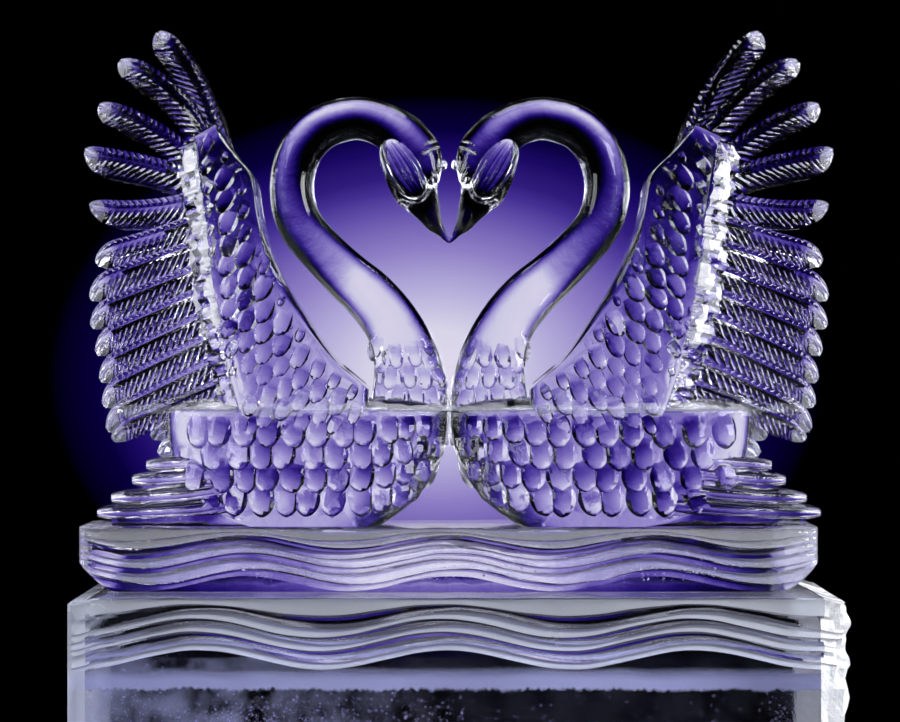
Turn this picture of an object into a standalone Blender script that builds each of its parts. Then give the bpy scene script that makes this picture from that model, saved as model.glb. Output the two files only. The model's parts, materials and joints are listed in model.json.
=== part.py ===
"""Two swans carved in ice, face to face, on a carved plinth of ice. Metres, +Z up, front towards -Y."""

import math

import bmesh
import bpy
from mathutils import Matrix, Vector

# The plinth is one standard block of ice lying flat.
PLINTH_LENGTH = 1.016
PLINTH_WIDTH = 0.508
PLINTH_HEIGHT = 0.254

# The swans are carved from two slabs, one frozen on top of the other.
SLAB_LENGTH = 1.016
SLAB_THICKNESS = 0.254
LOWER_SLAB_HEIGHT = 0.241
UPPER_SLAB_HEIGHT = 0.508
SWANS_SHIFT = -0.014
RIGHT_SPREAD = 0.026
RIGHT_SPREAD_FROM_TO = (0.22, 0.38)
JOINT_GAP = 0.0003

# The carved water under the swans, and the waves along its front and along the plinth's.
WATER_HEIGHT = 0.085
WATER_END_MARGIN = 0.008
WATER_CORNER = 0.050
WATER_STATIONS = 27
PLINTH_CORNER = 0.030
PLINTH_STATIONS = 23
SWAN_WAVE_LENGTH = 0.272
SWAN_WAVE_RISE = 0.010
PLINTH_WAVE_LENGTH = 0.320
PLINTH_WAVE_RISE = 0.0125
WAVE_LEVELS = 3
WAVE_PITCH = 0.024
WAVE_FACE = 0.62 * WAVE_PITCH
WAVE_FIRST = 0.15 * WAVE_PITCH
WAVE_CUT_DEPTH = 0.010
RIM = 0.008

# The swans' curves are drawn for slabs of this size, and follow the slabs when those change.
DRAWN_LENGTH = 1.016
DRAWN_THICKNESS = 0.254
DRAWN_HEIGHT = 0.749

SWANS_HEIGHT = LOWER_SLAB_HEIGHT + UPPER_SLAB_HEIGHT
ALONG = SLAB_LENGTH / DRAWN_LENGTH
ACROSS = SLAB_THICKNESS / DRAWN_THICKNESS
UP = SWANS_HEIGHT / DRAWN_HEIGHT

# Neck and head from the breast to the tip of the bill: distance from the other swan, height above the
# plinth, radius, and how deep the section is for its width.
NECK_STATIONS = [
    (0.060, 0.200, 0.060, 1.35),
    (0.053, 0.253, 0.053, 1.30),
    (0.058, 0.307, 0.045, 1.15),
    (0.077, 0.355, 0.0385, 1.0),
    (0.107, 0.393, 0.0360, 1.0),
    (0.136, 0.419, 0.0335, 1.0),
    (0.168, 0.450, 0.0312, 1.0),
    (0.195, 0.480, 0.0308, 1.0),
    (0.208, 0.506, 0.0305, 1.0),
    (0.2135, 0.538, 0.0300, 1.0),
    (0.210, 0.569, 0.0298, 1.0),
    (0.198, 0.598, 0.0302, 1.0),
    (0.171, 0.6235, 0.0300, 1.0),
    (0.129, 0.635, 0.0292, 1.0),
    (0.094, 0.628, 0.0298, 1.0),
    (0.069, 0.613, 0.0332, 0.97),
    (0.0556, 0.594, 0.0387, 0.86),
    (0.0502, 0.578, 0.0405, 0.80),
    (0.0489, 0.558, 0.0385, 0.80),
    (0.0448, 0.538, 0.0328, 0.80),
    (0.0380, 0.5245, 0.0257, 0.82),
    (0.0312, 0.512, 0.0197, 0.87),
    (0.0258, 0.5015, 0.0150, 0.95),
    (0.0197, 0.4905, 0.0110, 1.0),
    (0.0115, 0.481, 0.0063, 1.1),
    (0.0054, 0.473, 0.0040, 1.2),
    (-0.0008, 0.4675, 0.0030, 1.2),
]
NECK_SIDES = 8

# The body is an egg on its side: middle, half length, half thickness, and height below and above.
BODY_MIDDLE = (0.1886, 0.2368)
BODY_HALF_LENGTH = 0.1910
BODY_HALF_THICKNESS = 0.118
BODY_IN_WATER = 0.0246
BODY_BELOW = BODY_MIDDLE[1] - WATER_HEIGHT + BODY_IN_WATER
BODY_ABOVE = 0.0380
BODY_SQUARENESS = 2.5
BODY_REAR_FULLNESS = 0.45
BODY_TILT = math.radians(76)
BODY_SIDES = 20
BODY_RINGS = 7

# The outline of the wing's coverts: the edge towards the neck, then the line of the feathers' roots.
COVERT_EDGE = [
    (0.312, 0.622),
    (0.288, 0.585),
    (0.265, 0.556),
    (0.259, 0.525),
    (0.251, 0.484),
    (0.232, 0.435),
    (0.212, 0.396),
    (0.190, 0.362),
    (0.168, 0.328),
    (0.145, 0.299),
    (0.127, 0.284),
    (0.108, 0.268),
]
ROOT_LINE = [
    (0.340, 0.606),
    (0.336, 0.552),
    (0.328, 0.504),
    (0.326, 0.470),
    (0.322, 0.416),
    (0.312, 0.362),
    (0.301, 0.314),
    (0.290, 0.273),
    (0.276, 0.225),
]
COVERT_FOOT = (0.108, 0.200)
COVERT_MIDDLE = (0.25, 0.40)
COVERT_HALF_THICKNESS = 0.103
COVERT_BEVEL = 0.008

# Each flight feather: tip, root, half width, bow of its middle line, and where the tip's point is
# across it, from -1 at the lower edge to 1 at the upper one.
FLIGHT_FEATHERS = [
    ((0.396, 0.747), (0.310, 0.560), 0.0200, 0.016, 0.3),
    ((0.447, 0.707), (0.318, 0.570), 0.0190, 0.020, 0.3),
    ((0.476, 0.644), (0.322, 0.545), 0.0180, 0.014, 0.5),
    ((0.494, 0.577), (0.322, 0.535), 0.0195, 0.006, 0.8),
    ((0.484, 0.507), (0.318, 0.522), 0.0185, -0.010, 0.5),
    ((0.478, 0.444), (0.314, 0.495), 0.0180, -0.004, -0.5),
    ((0.487, 0.399), (0.310, 0.462), 0.0180, 0.000, -0.7),
    ((0.486, 0.361), (0.306, 0.430), 0.0180, 0.000, -0.7),
    ((0.479, 0.325), (0.302, 0.400), 0.0180, 0.000, -0.7),
    ((0.474, 0.288), (0.298, 0.370), 0.0180, 0.000, -0.7),
    ((0.470, 0.254), (0.292, 0.340), 0.0180, 0.000, -0.7),
    ((0.465, 0.221), (0.284, 0.310), 0.0180, 0.000, -0.7),
    ((0.456, 0.204), (0.270, 0.284), 0.0150, 0.000, -0.4),
    ((0.403, 0.206), (0.260, 0.258), 0.0150, 0.000, -0.3),
    ((0.394, 0.185), (0.250, 0.236), 0.0150, 0.000, -0.4),
]
FEATHER_TIP_LENGTH = 0.036
FEATHER_TIP_BLUNTNESS = 0.22
FEATHER_ROOT_HALF_THICKNESS = 0.100
FEATHER_HALF_THICKNESS = 0.070
FEATHER_TIP_HALF_THICKNESS = 0.045
FEATHER_STEP = 0.009
FEATHER_STAGGER = 0.0007
FEATHER_ROOT_BEVEL = 0.042

# Each tail feather: how far it reaches, its height at the tip and where it leaves the body.
TAIL_FEATHERS = [
    (0.406, 0.166, 0.196),
    (0.425, 0.146, 0.174),
    (0.453, 0.122, 0.146),
    (0.472, 0.102, 0.122),
]
TAIL_ROOT = 0.240
TAIL_HALF_HEIGHT = 0.0085
TAIL_HALF_WIDTH = 0.075
TAIL_TIP_NARROWING = 0.62
TAIL_STEP = 0.0025
TAIL_FOOT = WATER_HEIGHT - BODY_IN_WATER
# The ice behind the tail's feathers: how far away, and how high it reaches there.
TAIL_CORE = [
    (0.215, 0.212),
    (0.340, 0.182),
    (0.392, 0.140),
    (0.430, 0.108),
]

# The small covert feathers on the wing and the body, like scales.
# On the wing: from and to as shares of the way down it, rows, and scales in a row.
WING_SCALES = [
    (0.08, 0.34, 3, 2),
    (0.32, 0.62, 4, 4),
    (0.60, 0.93, 4, 5),
]
WING_SCALE_MARGIN = 0.009
WING_SCALE_STAGGER = 0.0016
BODY_SCALES_FROM_TO = (138, 22)
BODY_SCALES_TOP = 0.250
BODY_SCALES_ABOVE_WATER = 0.005
BODY_SCALE_ROWS = 5
BODY_SCALES_IN_ROW = 9
COARSER_AT_THE_BACK = 2
# How far a scale's lower edge is cut back along it, from one notch to the next.
SCALE_EDGE = (1.0, 0.1, 0.1)
SCALE_NOTCH = 0.42
SCALE_LIFT = 0.006
SCALE_BASE = 0.0010
SCALE_BACKING = 0.007

CHEEK_MIDDLE = (0.062, 0.565)
CHEEK_HALF_SIZE = (0.026, 0.035, 0.041)
CHEEK_TILT = math.radians(20)

ABOVE_EVERYTHING = 0.1
FLAT_WITHIN = math.radians(0.05)
SAME_WITHIN = 0.00001
ICE_COLOUR = (0.86, 0.86, 0.97, 1.0)
ICE_ROUGHNESS = 0.06
ICE_REFRACTION = 1.31


def clear_scene():
    for obj in list(bpy.data.objects):
        bpy.data.objects.remove(obj)


def ice_material(name, roughness):
    material = bpy.data.materials.new(name)
    material.use_nodes = True
    shader = material.node_tree.nodes["Principled BSDF"]
    shader.inputs["Base Color"].default_value = ICE_COLOUR
    shader.inputs["Roughness"].default_value = roughness
    shader.inputs["IOR"].default_value = ICE_REFRACTION
    shader.inputs["Transmission Weight"].default_value = 1.0
    return material


def carved(away, across, height):
    """A point of the left swan: away from the other swan, across the slab, and above the plinth."""
    return Vector(
        (
            SWANS_SHIFT - away * ALONG,
            across * ACROSS,
            PLINTH_HEIGHT + JOINT_GAP + height * UP,
        )
    )


def between(points, share):
    """The point at a share of the way along a list of points."""
    place = share * (len(points) - 1)
    i = min(int(place), len(points) - 2)
    return tuple(a + (b - a) * (place - i) for a, b in zip(points[i], points[i + 1]))


def new_object(name, shape, collection):
    """A bmesh as an object, with its twisted faces split into flat ones and all pointing outwards."""
    bmesh.ops.remove_doubles(shape, verts=shape.verts, dist=SAME_WITHIN)
    bmesh.ops.connect_verts_nonplanar(shape, angle_limit=FLAT_WITHIN, faces=shape.faces)
    bmesh.ops.recalc_face_normals(shape, faces=shape.faces)
    mesh = bpy.data.meshes.new(name)
    shape.to_mesh(mesh)
    shape.free()
    obj = bpy.data.objects.new(name, mesh)
    collection.objects.link(obj)
    return obj


def loft(name, rings, collection):
    """A closed solid through rings that have the same number of points, one loop after another."""
    shape = bmesh.new()
    loops = [[shape.verts.new(point) for point in ring] for ring in rings]
    for near, far in zip(loops, loops[1:]):
        for i in range(len(near)):
            j = (i + 1) % len(near)
            shape.faces.new((near[i], near[j], far[j], far[i]))
    shape.faces.new(loops[0])
    shape.faces.new(loops[-1])
    return new_object(name, shape, collection)


def make_neck(forms):
    """Neck, head and bill: a tube of changing radius, made deeper at the breast and flatter at the head."""
    curve = bpy.data.curves.new("neck line", "CURVE")
    curve.dimensions = "3D"
    curve.bevel_depth = 1.0
    curve.bevel_resolution = (NECK_SIDES - 4) // 2
    curve.use_fill_caps = True
    spline = curve.splines.new("POLY")
    spline.points.add(len(NECK_STATIONS) - 1)
    for point, (away, height, radius, _) in zip(spline.points, NECK_STATIONS):
        point.co = (*carved(away, 0.0, height), 1.0)
        point.radius = radius * UP
    guide = bpy.data.objects.new("neck line", curve)
    bpy.context.scene.collection.objects.link(guide)
    bpy.context.view_layer.update()
    mesh = bpy.data.meshes.new_from_object(
        guide.evaluated_get(bpy.context.evaluated_depsgraph_get())
    )
    bpy.data.objects.remove(guide)
    shape = bmesh.new()
    shape.from_mesh(mesh)
    bmesh.ops.remove_doubles(shape, verts=shape.verts, dist=SAME_WITHIN)
    middles = [carved(a, 0.0, h) for a, h, _, _ in NECK_STATIONS]
    for vert in shape.verts:
        flat = Vector((vert.co.x, 0.0, vert.co.z))
        nearest = min(range(len(middles)), key=lambda i: (middles[i] - flat).length)
        vert.co.y *= NECK_STATIONS[nearest][3] * ACROSS / UP
    new_object("neck", shape, forms)


def body_point(turn, tilt):
    """A point on the egg: turn 0 is the breast and 90 degrees the back side of the slab."""
    power = 2.0 / BODY_SQUARENESS
    along = math.copysign(abs(math.cos(turn)) ** power, math.cos(turn))
    over = math.copysign(abs(math.sin(turn)) ** power, math.sin(turn))
    rise = BODY_ABOVE if tilt > 0 else BODY_BELOW
    taper = math.cos(tilt) if along > 0 else math.cos(tilt) ** BODY_REAR_FULLNESS
    return carved(
        BODY_MIDDLE[0] - BODY_HALF_LENGTH * taper * along,
        BODY_HALF_THICKNESS * math.cos(tilt) * over,
        BODY_MIDDLE[1] + rise * math.sin(tilt),
    )


def make_body(forms):
    tilts = [BODY_TILT * (2 * i / (BODY_RINGS - 1) - 1) for i in range(BODY_RINGS)]
    turns = [2 * math.pi * i / BODY_SIDES for i in range(BODY_SIDES)]
    rings = [[body_point(turn, tilt) for turn in turns] for tilt in tilts]
    loft("body", rings, forms)


def make_coverts(forms):
    """The thick part of the wing, as a slab with its rims taken off."""
    outline = COVERT_EDGE + [COVERT_FOOT] + ROOT_LINE[::-1]
    rings = []
    for across, inset in (
        (-COVERT_HALF_THICKNESS, COVERT_BEVEL),
        (-COVERT_HALF_THICKNESS + COVERT_BEVEL, 0.0),
        (COVERT_HALF_THICKNESS - COVERT_BEVEL, 0.0),
        (COVERT_HALF_THICKNESS, COVERT_BEVEL),
    ):
        ring = []
        for point in outline:
            drawn_in = inset / math.dist(point, COVERT_MIDDLE)
            away, height = (p + (m - p) * drawn_in for p, m in zip(point, COVERT_MIDDLE))
            ring.append(carved(away, across, height))
        rings.append(ring)
    loft("coverts", rings, forms)


def make_flight_feather(number, tip, root, half_width, bow, nib, forms):
    """One flight feather: a blade whose upper edge stands proud of its lower one, on both faces."""
    tip, root = Vector(tip), Vector(root)
    length = (root - tip).length
    down_line = (root - tip) / length
    upward = Vector((-down_line.y, down_line.x))
    if upward.y < 0:
        upward = -upward
    tip_share = FEATHER_TIP_LENGTH / length
    bevel_share = 1.0 - FEATHER_ROOT_BEVEL / length
    shares = [0.0, 0.3 * tip_share, tip_share, bevel_share, 1.0]
    if bow:
        shares.insert(3, (tip_share + bevel_share) / 2)
    rings = []
    for share in shares:
        near_tip = max(0.0, 1.0 - share / tip_share)
        width = half_width * max(FEATHER_TIP_BLUNTNESS, math.sqrt(1.0 - near_tip**2))
        middle = tip + (root - tip) * share
        middle += upward * (bow * 4 * share * (1 - share))
        middle += upward * (nib * half_width * 0.7 * near_tip**2)
        thick = FEATHER_TIP_HALF_THICKNESS + share * (
            FEATHER_HALF_THICKNESS - FEATHER_TIP_HALF_THICKNESS
        )
        if share == 1.0:
            thick = FEATHER_ROOT_HALF_THICKNESS
        thick -= FEATHER_STAGGER * (number % 4)
        upper, lower = middle + upward * width, middle - upward * width
        rings.append(
            [
                carved(upper.x, -thick, upper.y),
                carved(lower.x, -thick + FEATHER_STEP, lower.y),
                carved(lower.x, thick - FEATHER_STEP, lower.y),
                carved(upper.x, thick, upper.y),
            ]
        )
    loft(f"flight feather {number}", rings, forms)


def make_tail_feather(number, reach, tip_height, root_height, forms):
    """One tail feather: a flat tongue that sweeps up into the body."""
    rings = []
    for share in (0.0, 0.12, 0.45, 1.0):
        away = reach + (TAIL_ROOT - reach) * share
        height = tip_height + (root_height - tip_height) * share**2
        half_height = TAIL_HALF_HEIGHT * (1.0 + 0.4 * share)
        half_width = TAIL_HALF_WIDTH - TAIL_STEP * number
        half_width *= TAIL_TIP_NARROWING if share == 0.0 else 1.0
        rings.append(
            [
                carved(away, -half_width, height - half_height),
                carved(away, half_width, height - half_height),
                carved(away, half_width, height + half_height),
                carved(away, -half_width, height + half_height),
            ]
        )
    loft(f"tail feather {number}", rings, forms)


def make_tail_core(forms):
    """The solid ice between the tail's feathers, a little narrower than they are."""
    half_width = TAIL_HALF_WIDTH - TAIL_STEP * (len(TAIL_FEATHERS) + 1)
    rings = [
        [
            carved(away, -half_width, TAIL_FOOT),
            carved(away, half_width, TAIL_FOOT),
            carved(away, half_width, high),
            carved(away, -half_width, high),
        ]
        for away, high in TAIL_CORE
    ]
    loft("tail core", rings, forms)


def make_scale_sheet(name, place, outward_at, rows, scales, forms):
    """Rows of scales in one sheet, laid like shingles: a row starts low and ends proud and scalloped."""
    rings = []
    columns = len(SCALE_EDGE) * scales
    for column in range(columns + 1):
        share = column / columns
        at_end = column in (0, columns)
        low = -SCALE_BACKING / 2 if at_end else SCALE_BASE
        proud = low if at_end else SCALE_LIFT
        ring = [place(0.0, share) + outward_at(0.0, share) * low]
        for row in range(rows):
            phase = (column + row % 2 * len(SCALE_EDGE) // 2) % len(SCALE_EDGE)
            edge = place(row + 1 - SCALE_NOTCH * SCALE_EDGE[phase], share)
            outward = outward_at(row + 1, share)
            ring += [edge + outward * proud, edge + outward * low]
        ring.append(ring[-1] - outward * SCALE_BACKING)
        ring.append(ring[0] - outward_at(0.0, share) * SCALE_BACKING)
        rings.append(ring)
    loft(name, rings, forms)


def make_wing_scales(side, coarser, forms):
    """Scales from the line of the feathers' roots to the edge towards the neck."""
    for number, (first, last, rows, scales) in enumerate(WING_SCALES):
        rows, scales = max(1, rows // coarser), max(1, scales // coarser)
        inset = WING_SCALE_MARGIN + WING_SCALE_STAGGER * number

        def place(row, share):
            down = first + (last - first) * row / rows
            far, near = between(ROOT_LINE, down), between(COVERT_EDGE, down)
            margin = inset / math.dist(far, near)
            share = margin + (1 - 2 * margin) * share
            away, height = (f + (n - f) * share for f, n in zip(far, near))
            lift = WING_SCALE_STAGGER * number / 4
            return carved(away, side * (COVERT_HALF_THICKNESS + lift), height)

        def outward_at(row, share):
            return Vector((0.0, side, 0.0))

        make_scale_sheet("wing scales", place, outward_at, rows, scales, forms)


def make_body_scales(side, coarser, forms):
    """Scales round the body, from the tail to the breast."""
    first, last = (side * math.radians(turn) for turn in BODY_SCALES_FROM_TO)
    rows, scales = BODY_SCALE_ROWS // coarser, BODY_SCALES_IN_ROW // coarser

    def turn_and_tilt(row, share):
        bottom = WATER_HEIGHT + BODY_SCALES_ABOVE_WATER
        height = BODY_SCALES_TOP + (bottom - BODY_SCALES_TOP) * row / rows
        tilt = math.asin(max(-0.97, min(0.3, (height - BODY_MIDDLE[1]) / BODY_BELOW)))
        return first + (last - first) * share, tilt

    def place(row, share):
        return body_point(*turn_and_tilt(row, share))

    def outward_at(row, share):
        turn, tilt = turn_and_tilt(row, share)
        step = 0.02
        round_it = body_point(turn + step, tilt) - body_point(turn - step, tilt)
        up_it = body_point(turn, tilt + step) - body_point(turn, tilt - step)
        outward = round_it.cross(up_it).normalized()
        middle = carved(BODY_MIDDLE[0], 0.0, BODY_MIDDLE[1])
        return outward if outward.dot(body_point(turn, tilt) - middle) > 0 else -outward

    make_scale_sheet("body scales", place, outward_at, rows, scales, forms)


def make_cheek(forms):
    """The oval patch of feathers on the side of the head."""
    shape = bmesh.new()
    bmesh.ops.create_uvsphere(shape, u_segments=10, v_segments=6, radius=1.0)
    size = [half * ratio for half, ratio in zip(CHEEK_HALF_SIZE, (ALONG, ACROSS, UP))]
    place = (
        Matrix.Translation(carved(CHEEK_MIDDLE[0], 0.0, CHEEK_MIDDLE[1]))
        @ Matrix.Rotation(-CHEEK_TILT, 4, "Y")
        @ Matrix.Diagonal((*size, 1.0))
    )
    bmesh.ops.transform(shape, verts=shape.verts, matrix=place)
    new_object("cheek", shape, forms)


def block_section(front, back, foot, top, wave):
    """Points round a block of ice, whose front is cut in steps from its top downwards."""
    section = [(back, top - RIM), (back - RIM, top), (front + RIM, top)]
    for level in range(WAVE_LEVELS):
        ridge = top - WAVE_FIRST - WAVE_PITCH * level + wave
        section.append((front, ridge))
        section.append((front + WAVE_CUT_DEPTH, ridge - WAVE_FACE))
    section.append((front, section[-1][1] - WAVE_CUT_DEPTH))
    lowest = [foot + SAME_WITHIN * 100 * (len(section) - n) for n in range(len(section))]
    section = [(y, max(z, low)) for (y, z), low in zip(section, lowest)]
    return section + [(front, foot), (back, foot)]


def wave_height(place, length, rise):
    """How far a wave's line dips below its crests, at a place along the front."""
    return rise * (math.cos(2 * math.pi * (place - SWANS_SHIFT) / length) - 1.0)


def rounded_inset(from_end, corner):
    """How far a block's face draws in, close to its rounded end."""
    near_end = max(0.0, 1.0 - from_end / corner)
    return corner * (1.0 - math.sqrt(1.0 - near_end**2)) / 2


def make_water(works):
    """The carved water: a low slab with waves cut in its front, and ends that are rounded and undercut."""
    half = SLAB_LENGTH / 2 - WATER_END_MARGIN
    rings = []
    for i in range(WATER_STATIONS):
        place = 2 * half * (i / (WATER_STATIONS - 1) - 0.5)
        inset = rounded_inset(half - abs(place), WATER_CORNER)
        near_end = max(0.0, 1.0 - (half - abs(place)) / WATER_CORNER)
        section = block_section(
            -SLAB_THICKNESS / 2 + inset,
            SLAB_THICKNESS / 2 - inset,
            WATER_CORNER * 0.75 * near_end**1.5,
            WATER_HEIGHT,
            wave_height(place, SWAN_WAVE_LENGTH, SWAN_WAVE_RISE),
        )
        foot = PLINTH_HEIGHT + JOINT_GAP
        rings.append([Vector((place, y, foot + z)) for y, z in section])
    return loft("water", rings, works)


def make_right_swan(forms):
    """The right swan: the left one turned round, with its wing reaching further out."""
    for obj in list(forms.objects):
        shape = bmesh.new()
        shape.from_mesh(obj.data)
        for vert in shape.verts:
            away = SWANS_SHIFT - vert.co.x
            first, last = (a * ALONG for a in RIGHT_SPREAD_FROM_TO)
            ramp = min(1.0, max(0.0, (away - first) / (last - first)))
            spread = RIGHT_SPREAD * ALONG * ramp * ramp * (3 - 2 * ramp)
            vert.co.x = SWANS_SHIFT + away + spread
        new_object(f"right {obj.name}", shape, forms)


def join(water, forms):
    """The water and both swans as one solid."""
    union = water.modifiers.new("join the forms", "BOOLEAN")
    union.operation = "UNION"
    union.operand_type = "COLLECTION"
    union.collection = forms
    union.solver = "EXACT"
    bpy.context.view_layer.update()
    graph = bpy.context.evaluated_depsgraph_get()
    mesh = bpy.data.meshes.new_from_object(water.evaluated_get(graph))
    bpy.data.objects.remove(water)
    return mesh


def slab_object(name, mesh, low, high, material, cutters, works):
    """The part of the carved swans between two heights."""
    obj = bpy.data.objects.new(name, mesh.copy())
    obj.data.materials.clear()
    obj.data.materials.append(material)
    works.objects.link(obj)
    shape = bmesh.new()
    bmesh.ops.create_cube(shape, size=1.0)
    size = (2 * SLAB_LENGTH, 2 * SLAB_THICKNESS, high - low)
    bmesh.ops.transform(shape, verts=shape.verts, matrix=Matrix.Diagonal((*size, 1.0)))
    bmesh.ops.translate(shape, verts=shape.verts, vec=(0.0, 0.0, (low + high) / 2))
    cutter = new_object(f"{name} bounds", shape, cutters)
    cutter.hide_render = True
    cutter.display_type = "WIRE"
    cut = obj.modifiers.new("cut at the seam", "BOOLEAN")
    cut.operation = "INTERSECT"
    cut.object = cutter
    cut.solver = "EXACT"


def make_plinth(material, works):
    """The block under the swans, with waves cut along the top of its front."""
    rings = []
    for i in range(PLINTH_STATIONS):
        place = PLINTH_LENGTH * (i / (PLINTH_STATIONS - 1) - 0.5)
        inset = rounded_inset(PLINTH_LENGTH / 2 - abs(place), PLINTH_CORNER)
        section = block_section(
            -PLINTH_WIDTH / 2 + inset,
            PLINTH_WIDTH / 2 - inset,
            0.0,
            PLINTH_HEIGHT,
            wave_height(place, PLINTH_WAVE_LENGTH, PLINTH_WAVE_RISE),
        )
        rings.append([Vector((place, y, z)) for y, z in section])
    obj = loft("plinth", rings, works)
    obj.data.materials.append(material)


def main():
    clear_scene()
    scene = bpy.context.scene.collection
    works, forms, cutters = (
        bpy.data.collections.new(name)
        for name in ("ice swan sculpture", "swan forms", "cutters")
    )
    for collection in (works, forms, cutters):
        scene.children.link(collection)
    make_neck(forms)
    make_body(forms)
    make_coverts(forms)
    make_cheek(forms)
    for number, feather in enumerate(FLIGHT_FEATHERS, 1):
        make_flight_feather(number, *feather, forms)
    make_tail_core(forms)
    for number, feather in enumerate(TAIL_FEATHERS, 1):
        make_tail_feather(number, *feather, forms)
    for side, coarser in ((-1, 1), (1, COARSER_AT_THE_BACK)):
        make_wing_scales(side, coarser, forms)
        make_body_scales(side, coarser, forms)
    make_right_swan(forms)
    swans = join(make_water(works), forms)
    for obj in list(forms.objects):
        bpy.data.objects.remove(obj)
    clear = ice_material("clear ice", ICE_ROUGHNESS)
    seam = PLINTH_HEIGHT + JOINT_GAP + LOWER_SLAB_HEIGHT
    top = PLINTH_HEIGHT + SWANS_HEIGHT + ABOVE_EVERYTHING
    slab_object("lower_slab", swans, 0.0, seam - JOINT_GAP / 2, clear, cutters, works)
    slab_object("upper_slab", swans, seam + JOINT_GAP / 2, top, clear, cutters, works)
    make_plinth(ice_material("plinth ice", 2 * ICE_ROUGHNESS), works)


main()
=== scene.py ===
# %% [markdown]
# # Two swans carved in ice
# A carver takes clear blocks of ice, a metre long, and cuts two swans that meet in a heart. The swans
# are carved from two slabs frozen on top of each other, and they stand on a third block, the plinth.
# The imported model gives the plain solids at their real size. This lesson carves the feathers, the
# scales and the water into them, and gives the ice its finish.

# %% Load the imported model
import json
import math
import random

import bmesh
import bpy
from mathutils import Euler, Matrix, Vector, noise
from mathutils.bvhtree import BVHTree

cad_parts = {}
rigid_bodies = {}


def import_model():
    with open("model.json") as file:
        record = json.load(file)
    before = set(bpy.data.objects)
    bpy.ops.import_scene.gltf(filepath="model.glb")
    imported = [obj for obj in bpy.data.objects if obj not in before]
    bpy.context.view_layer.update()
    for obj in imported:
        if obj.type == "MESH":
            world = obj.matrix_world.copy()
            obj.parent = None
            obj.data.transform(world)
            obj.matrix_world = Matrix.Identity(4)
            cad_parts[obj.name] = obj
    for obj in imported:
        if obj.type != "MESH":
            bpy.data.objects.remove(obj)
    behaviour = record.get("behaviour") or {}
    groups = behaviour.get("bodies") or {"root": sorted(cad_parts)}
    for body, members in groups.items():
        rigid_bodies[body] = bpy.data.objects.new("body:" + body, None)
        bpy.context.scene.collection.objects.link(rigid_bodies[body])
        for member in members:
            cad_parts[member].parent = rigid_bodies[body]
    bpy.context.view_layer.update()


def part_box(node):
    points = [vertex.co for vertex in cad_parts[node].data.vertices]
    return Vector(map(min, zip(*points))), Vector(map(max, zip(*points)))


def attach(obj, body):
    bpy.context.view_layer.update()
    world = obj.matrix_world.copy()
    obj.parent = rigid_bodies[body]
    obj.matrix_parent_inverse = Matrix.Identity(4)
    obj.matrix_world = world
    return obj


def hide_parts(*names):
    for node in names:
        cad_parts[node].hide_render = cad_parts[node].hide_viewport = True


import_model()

PLINTH_LOW, PLINTH_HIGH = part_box("plinth")
WATER_LOW, SEAM_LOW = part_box("lower_slab")[0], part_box("lower_slab")[1].z
SEAM_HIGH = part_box("upper_slab")[0].z
FOOT = WATER_LOW.z
print("plinth", PLINTH_LOW, PLINTH_HIGH, "seam", SEAM_LOW, SEAM_HIGH)

# %% [markdown]
# ## Where things are on a swan
# Both swans share one drawing. A place on it is how far it is away from the line where the swans
# meet, how far across the slab, and how high above the plinth. The right swan is the same drawing
# turned round, with its wing reaching a little further out, as carvers never cut two things alike.

# %% Places on a swan
LEFT, RIGHT = -1, 1
FRONT, BACK = -1, 1
SWANS_X = -0.014
RIGHT_SPREAD = 0.026
SPREAD_FROM, SPREAD_OVER = 0.22, 0.16


def ease(share):
    """A soft step from 0 to 1."""
    share = min(1.0, max(0.0, share))
    return share * share * (3.0 - 2.0 * share)


def spot(side, away, across, height):
    """A point of the left or the right swan."""
    if side == RIGHT:
        away += RIGHT_SPREAD * ease((away - SPREAD_FROM) / SPREAD_OVER)
    return Vector((SWANS_X + side * away, across, FOOT + height))


def curve_through(points, share):
    """A point on a smooth curve through a list of points, for a share from 0 to 1."""
    place = min(max(share, 0.0), 1.0) * (len(points) - 1)
    i = min(int(place), len(points) - 2)
    t = place - i
    before, here = points[max(i - 1, 0)], points[i]
    there, after = points[i + 1], points[min(i + 2, len(points) - 1)]
    return tuple(
        0.5 * (2 * b + (c - a) * t + (2 * a - 5 * b + 4 * c - d) * t**2 + (3 * b - a - 3 * c + d) * t**3)
        for a, b, c, d in zip(before, here, there, after)
    )


# %% [markdown]
# ## One helper for every carved form
# Nearly every form here is long and round in some way: a neck, a feather, a wave-cut block. All of
# them are a flat grid rolled up into a tube. The grid gives the faces, a function says where each of
# its points goes, the two long edges are welded, and the ends are filled. Each form stays a closed
# solid, so that they can all be joined into one block of ice later.

# %% Tubes and solids
CLEAR, FROSTED, DULL = 0, 1, 2
SAME_PLACE = 1e-6
forms = bpy.data.collections.new("forms of the swans")
cuts = bpy.data.collections.new("cuts into the swans")
blocks = bpy.data.collections.new("blocks of ice")
for collection in (forms, cuts, blocks):
    bpy.context.scene.collection.children.link(collection)


def tube(stations, sides, at):
    """A grid rolled into a closed tube. at(i, j) is the point at station i and side j."""
    shape = bmesh.new()
    bmesh.ops.create_grid(shape, x_segments=sides, y_segments=stations, size=0.5)
    for vert in shape.verts:
        j = round((vert.co.x + 0.5) * sides) % sides
        i = round((vert.co.y + 0.5) * stations)
        vert.co = at(i, j)
    bmesh.ops.remove_doubles(shape, verts=shape.verts, dist=SAME_PLACE)
    rims = [edge for edge in shape.edges if edge.is_boundary]
    bmesh.ops.holes_fill(shape, edges=rims, sides=0)
    return shape


def place_object(name, data, collection=None):
    """An object for a mesh, a lamp or a camera, in a collection or else straight in the scene."""
    obj = bpy.data.objects.new(name, data)
    (collection or bpy.context.scene.collection).objects.link(obj)
    return obj


def mesh_of(name, shape):
    """A finished bmesh as a mesh."""
    mesh = bpy.data.meshes.new(name)
    shape.to_mesh(mesh)
    shape.free()
    return mesh


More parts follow.
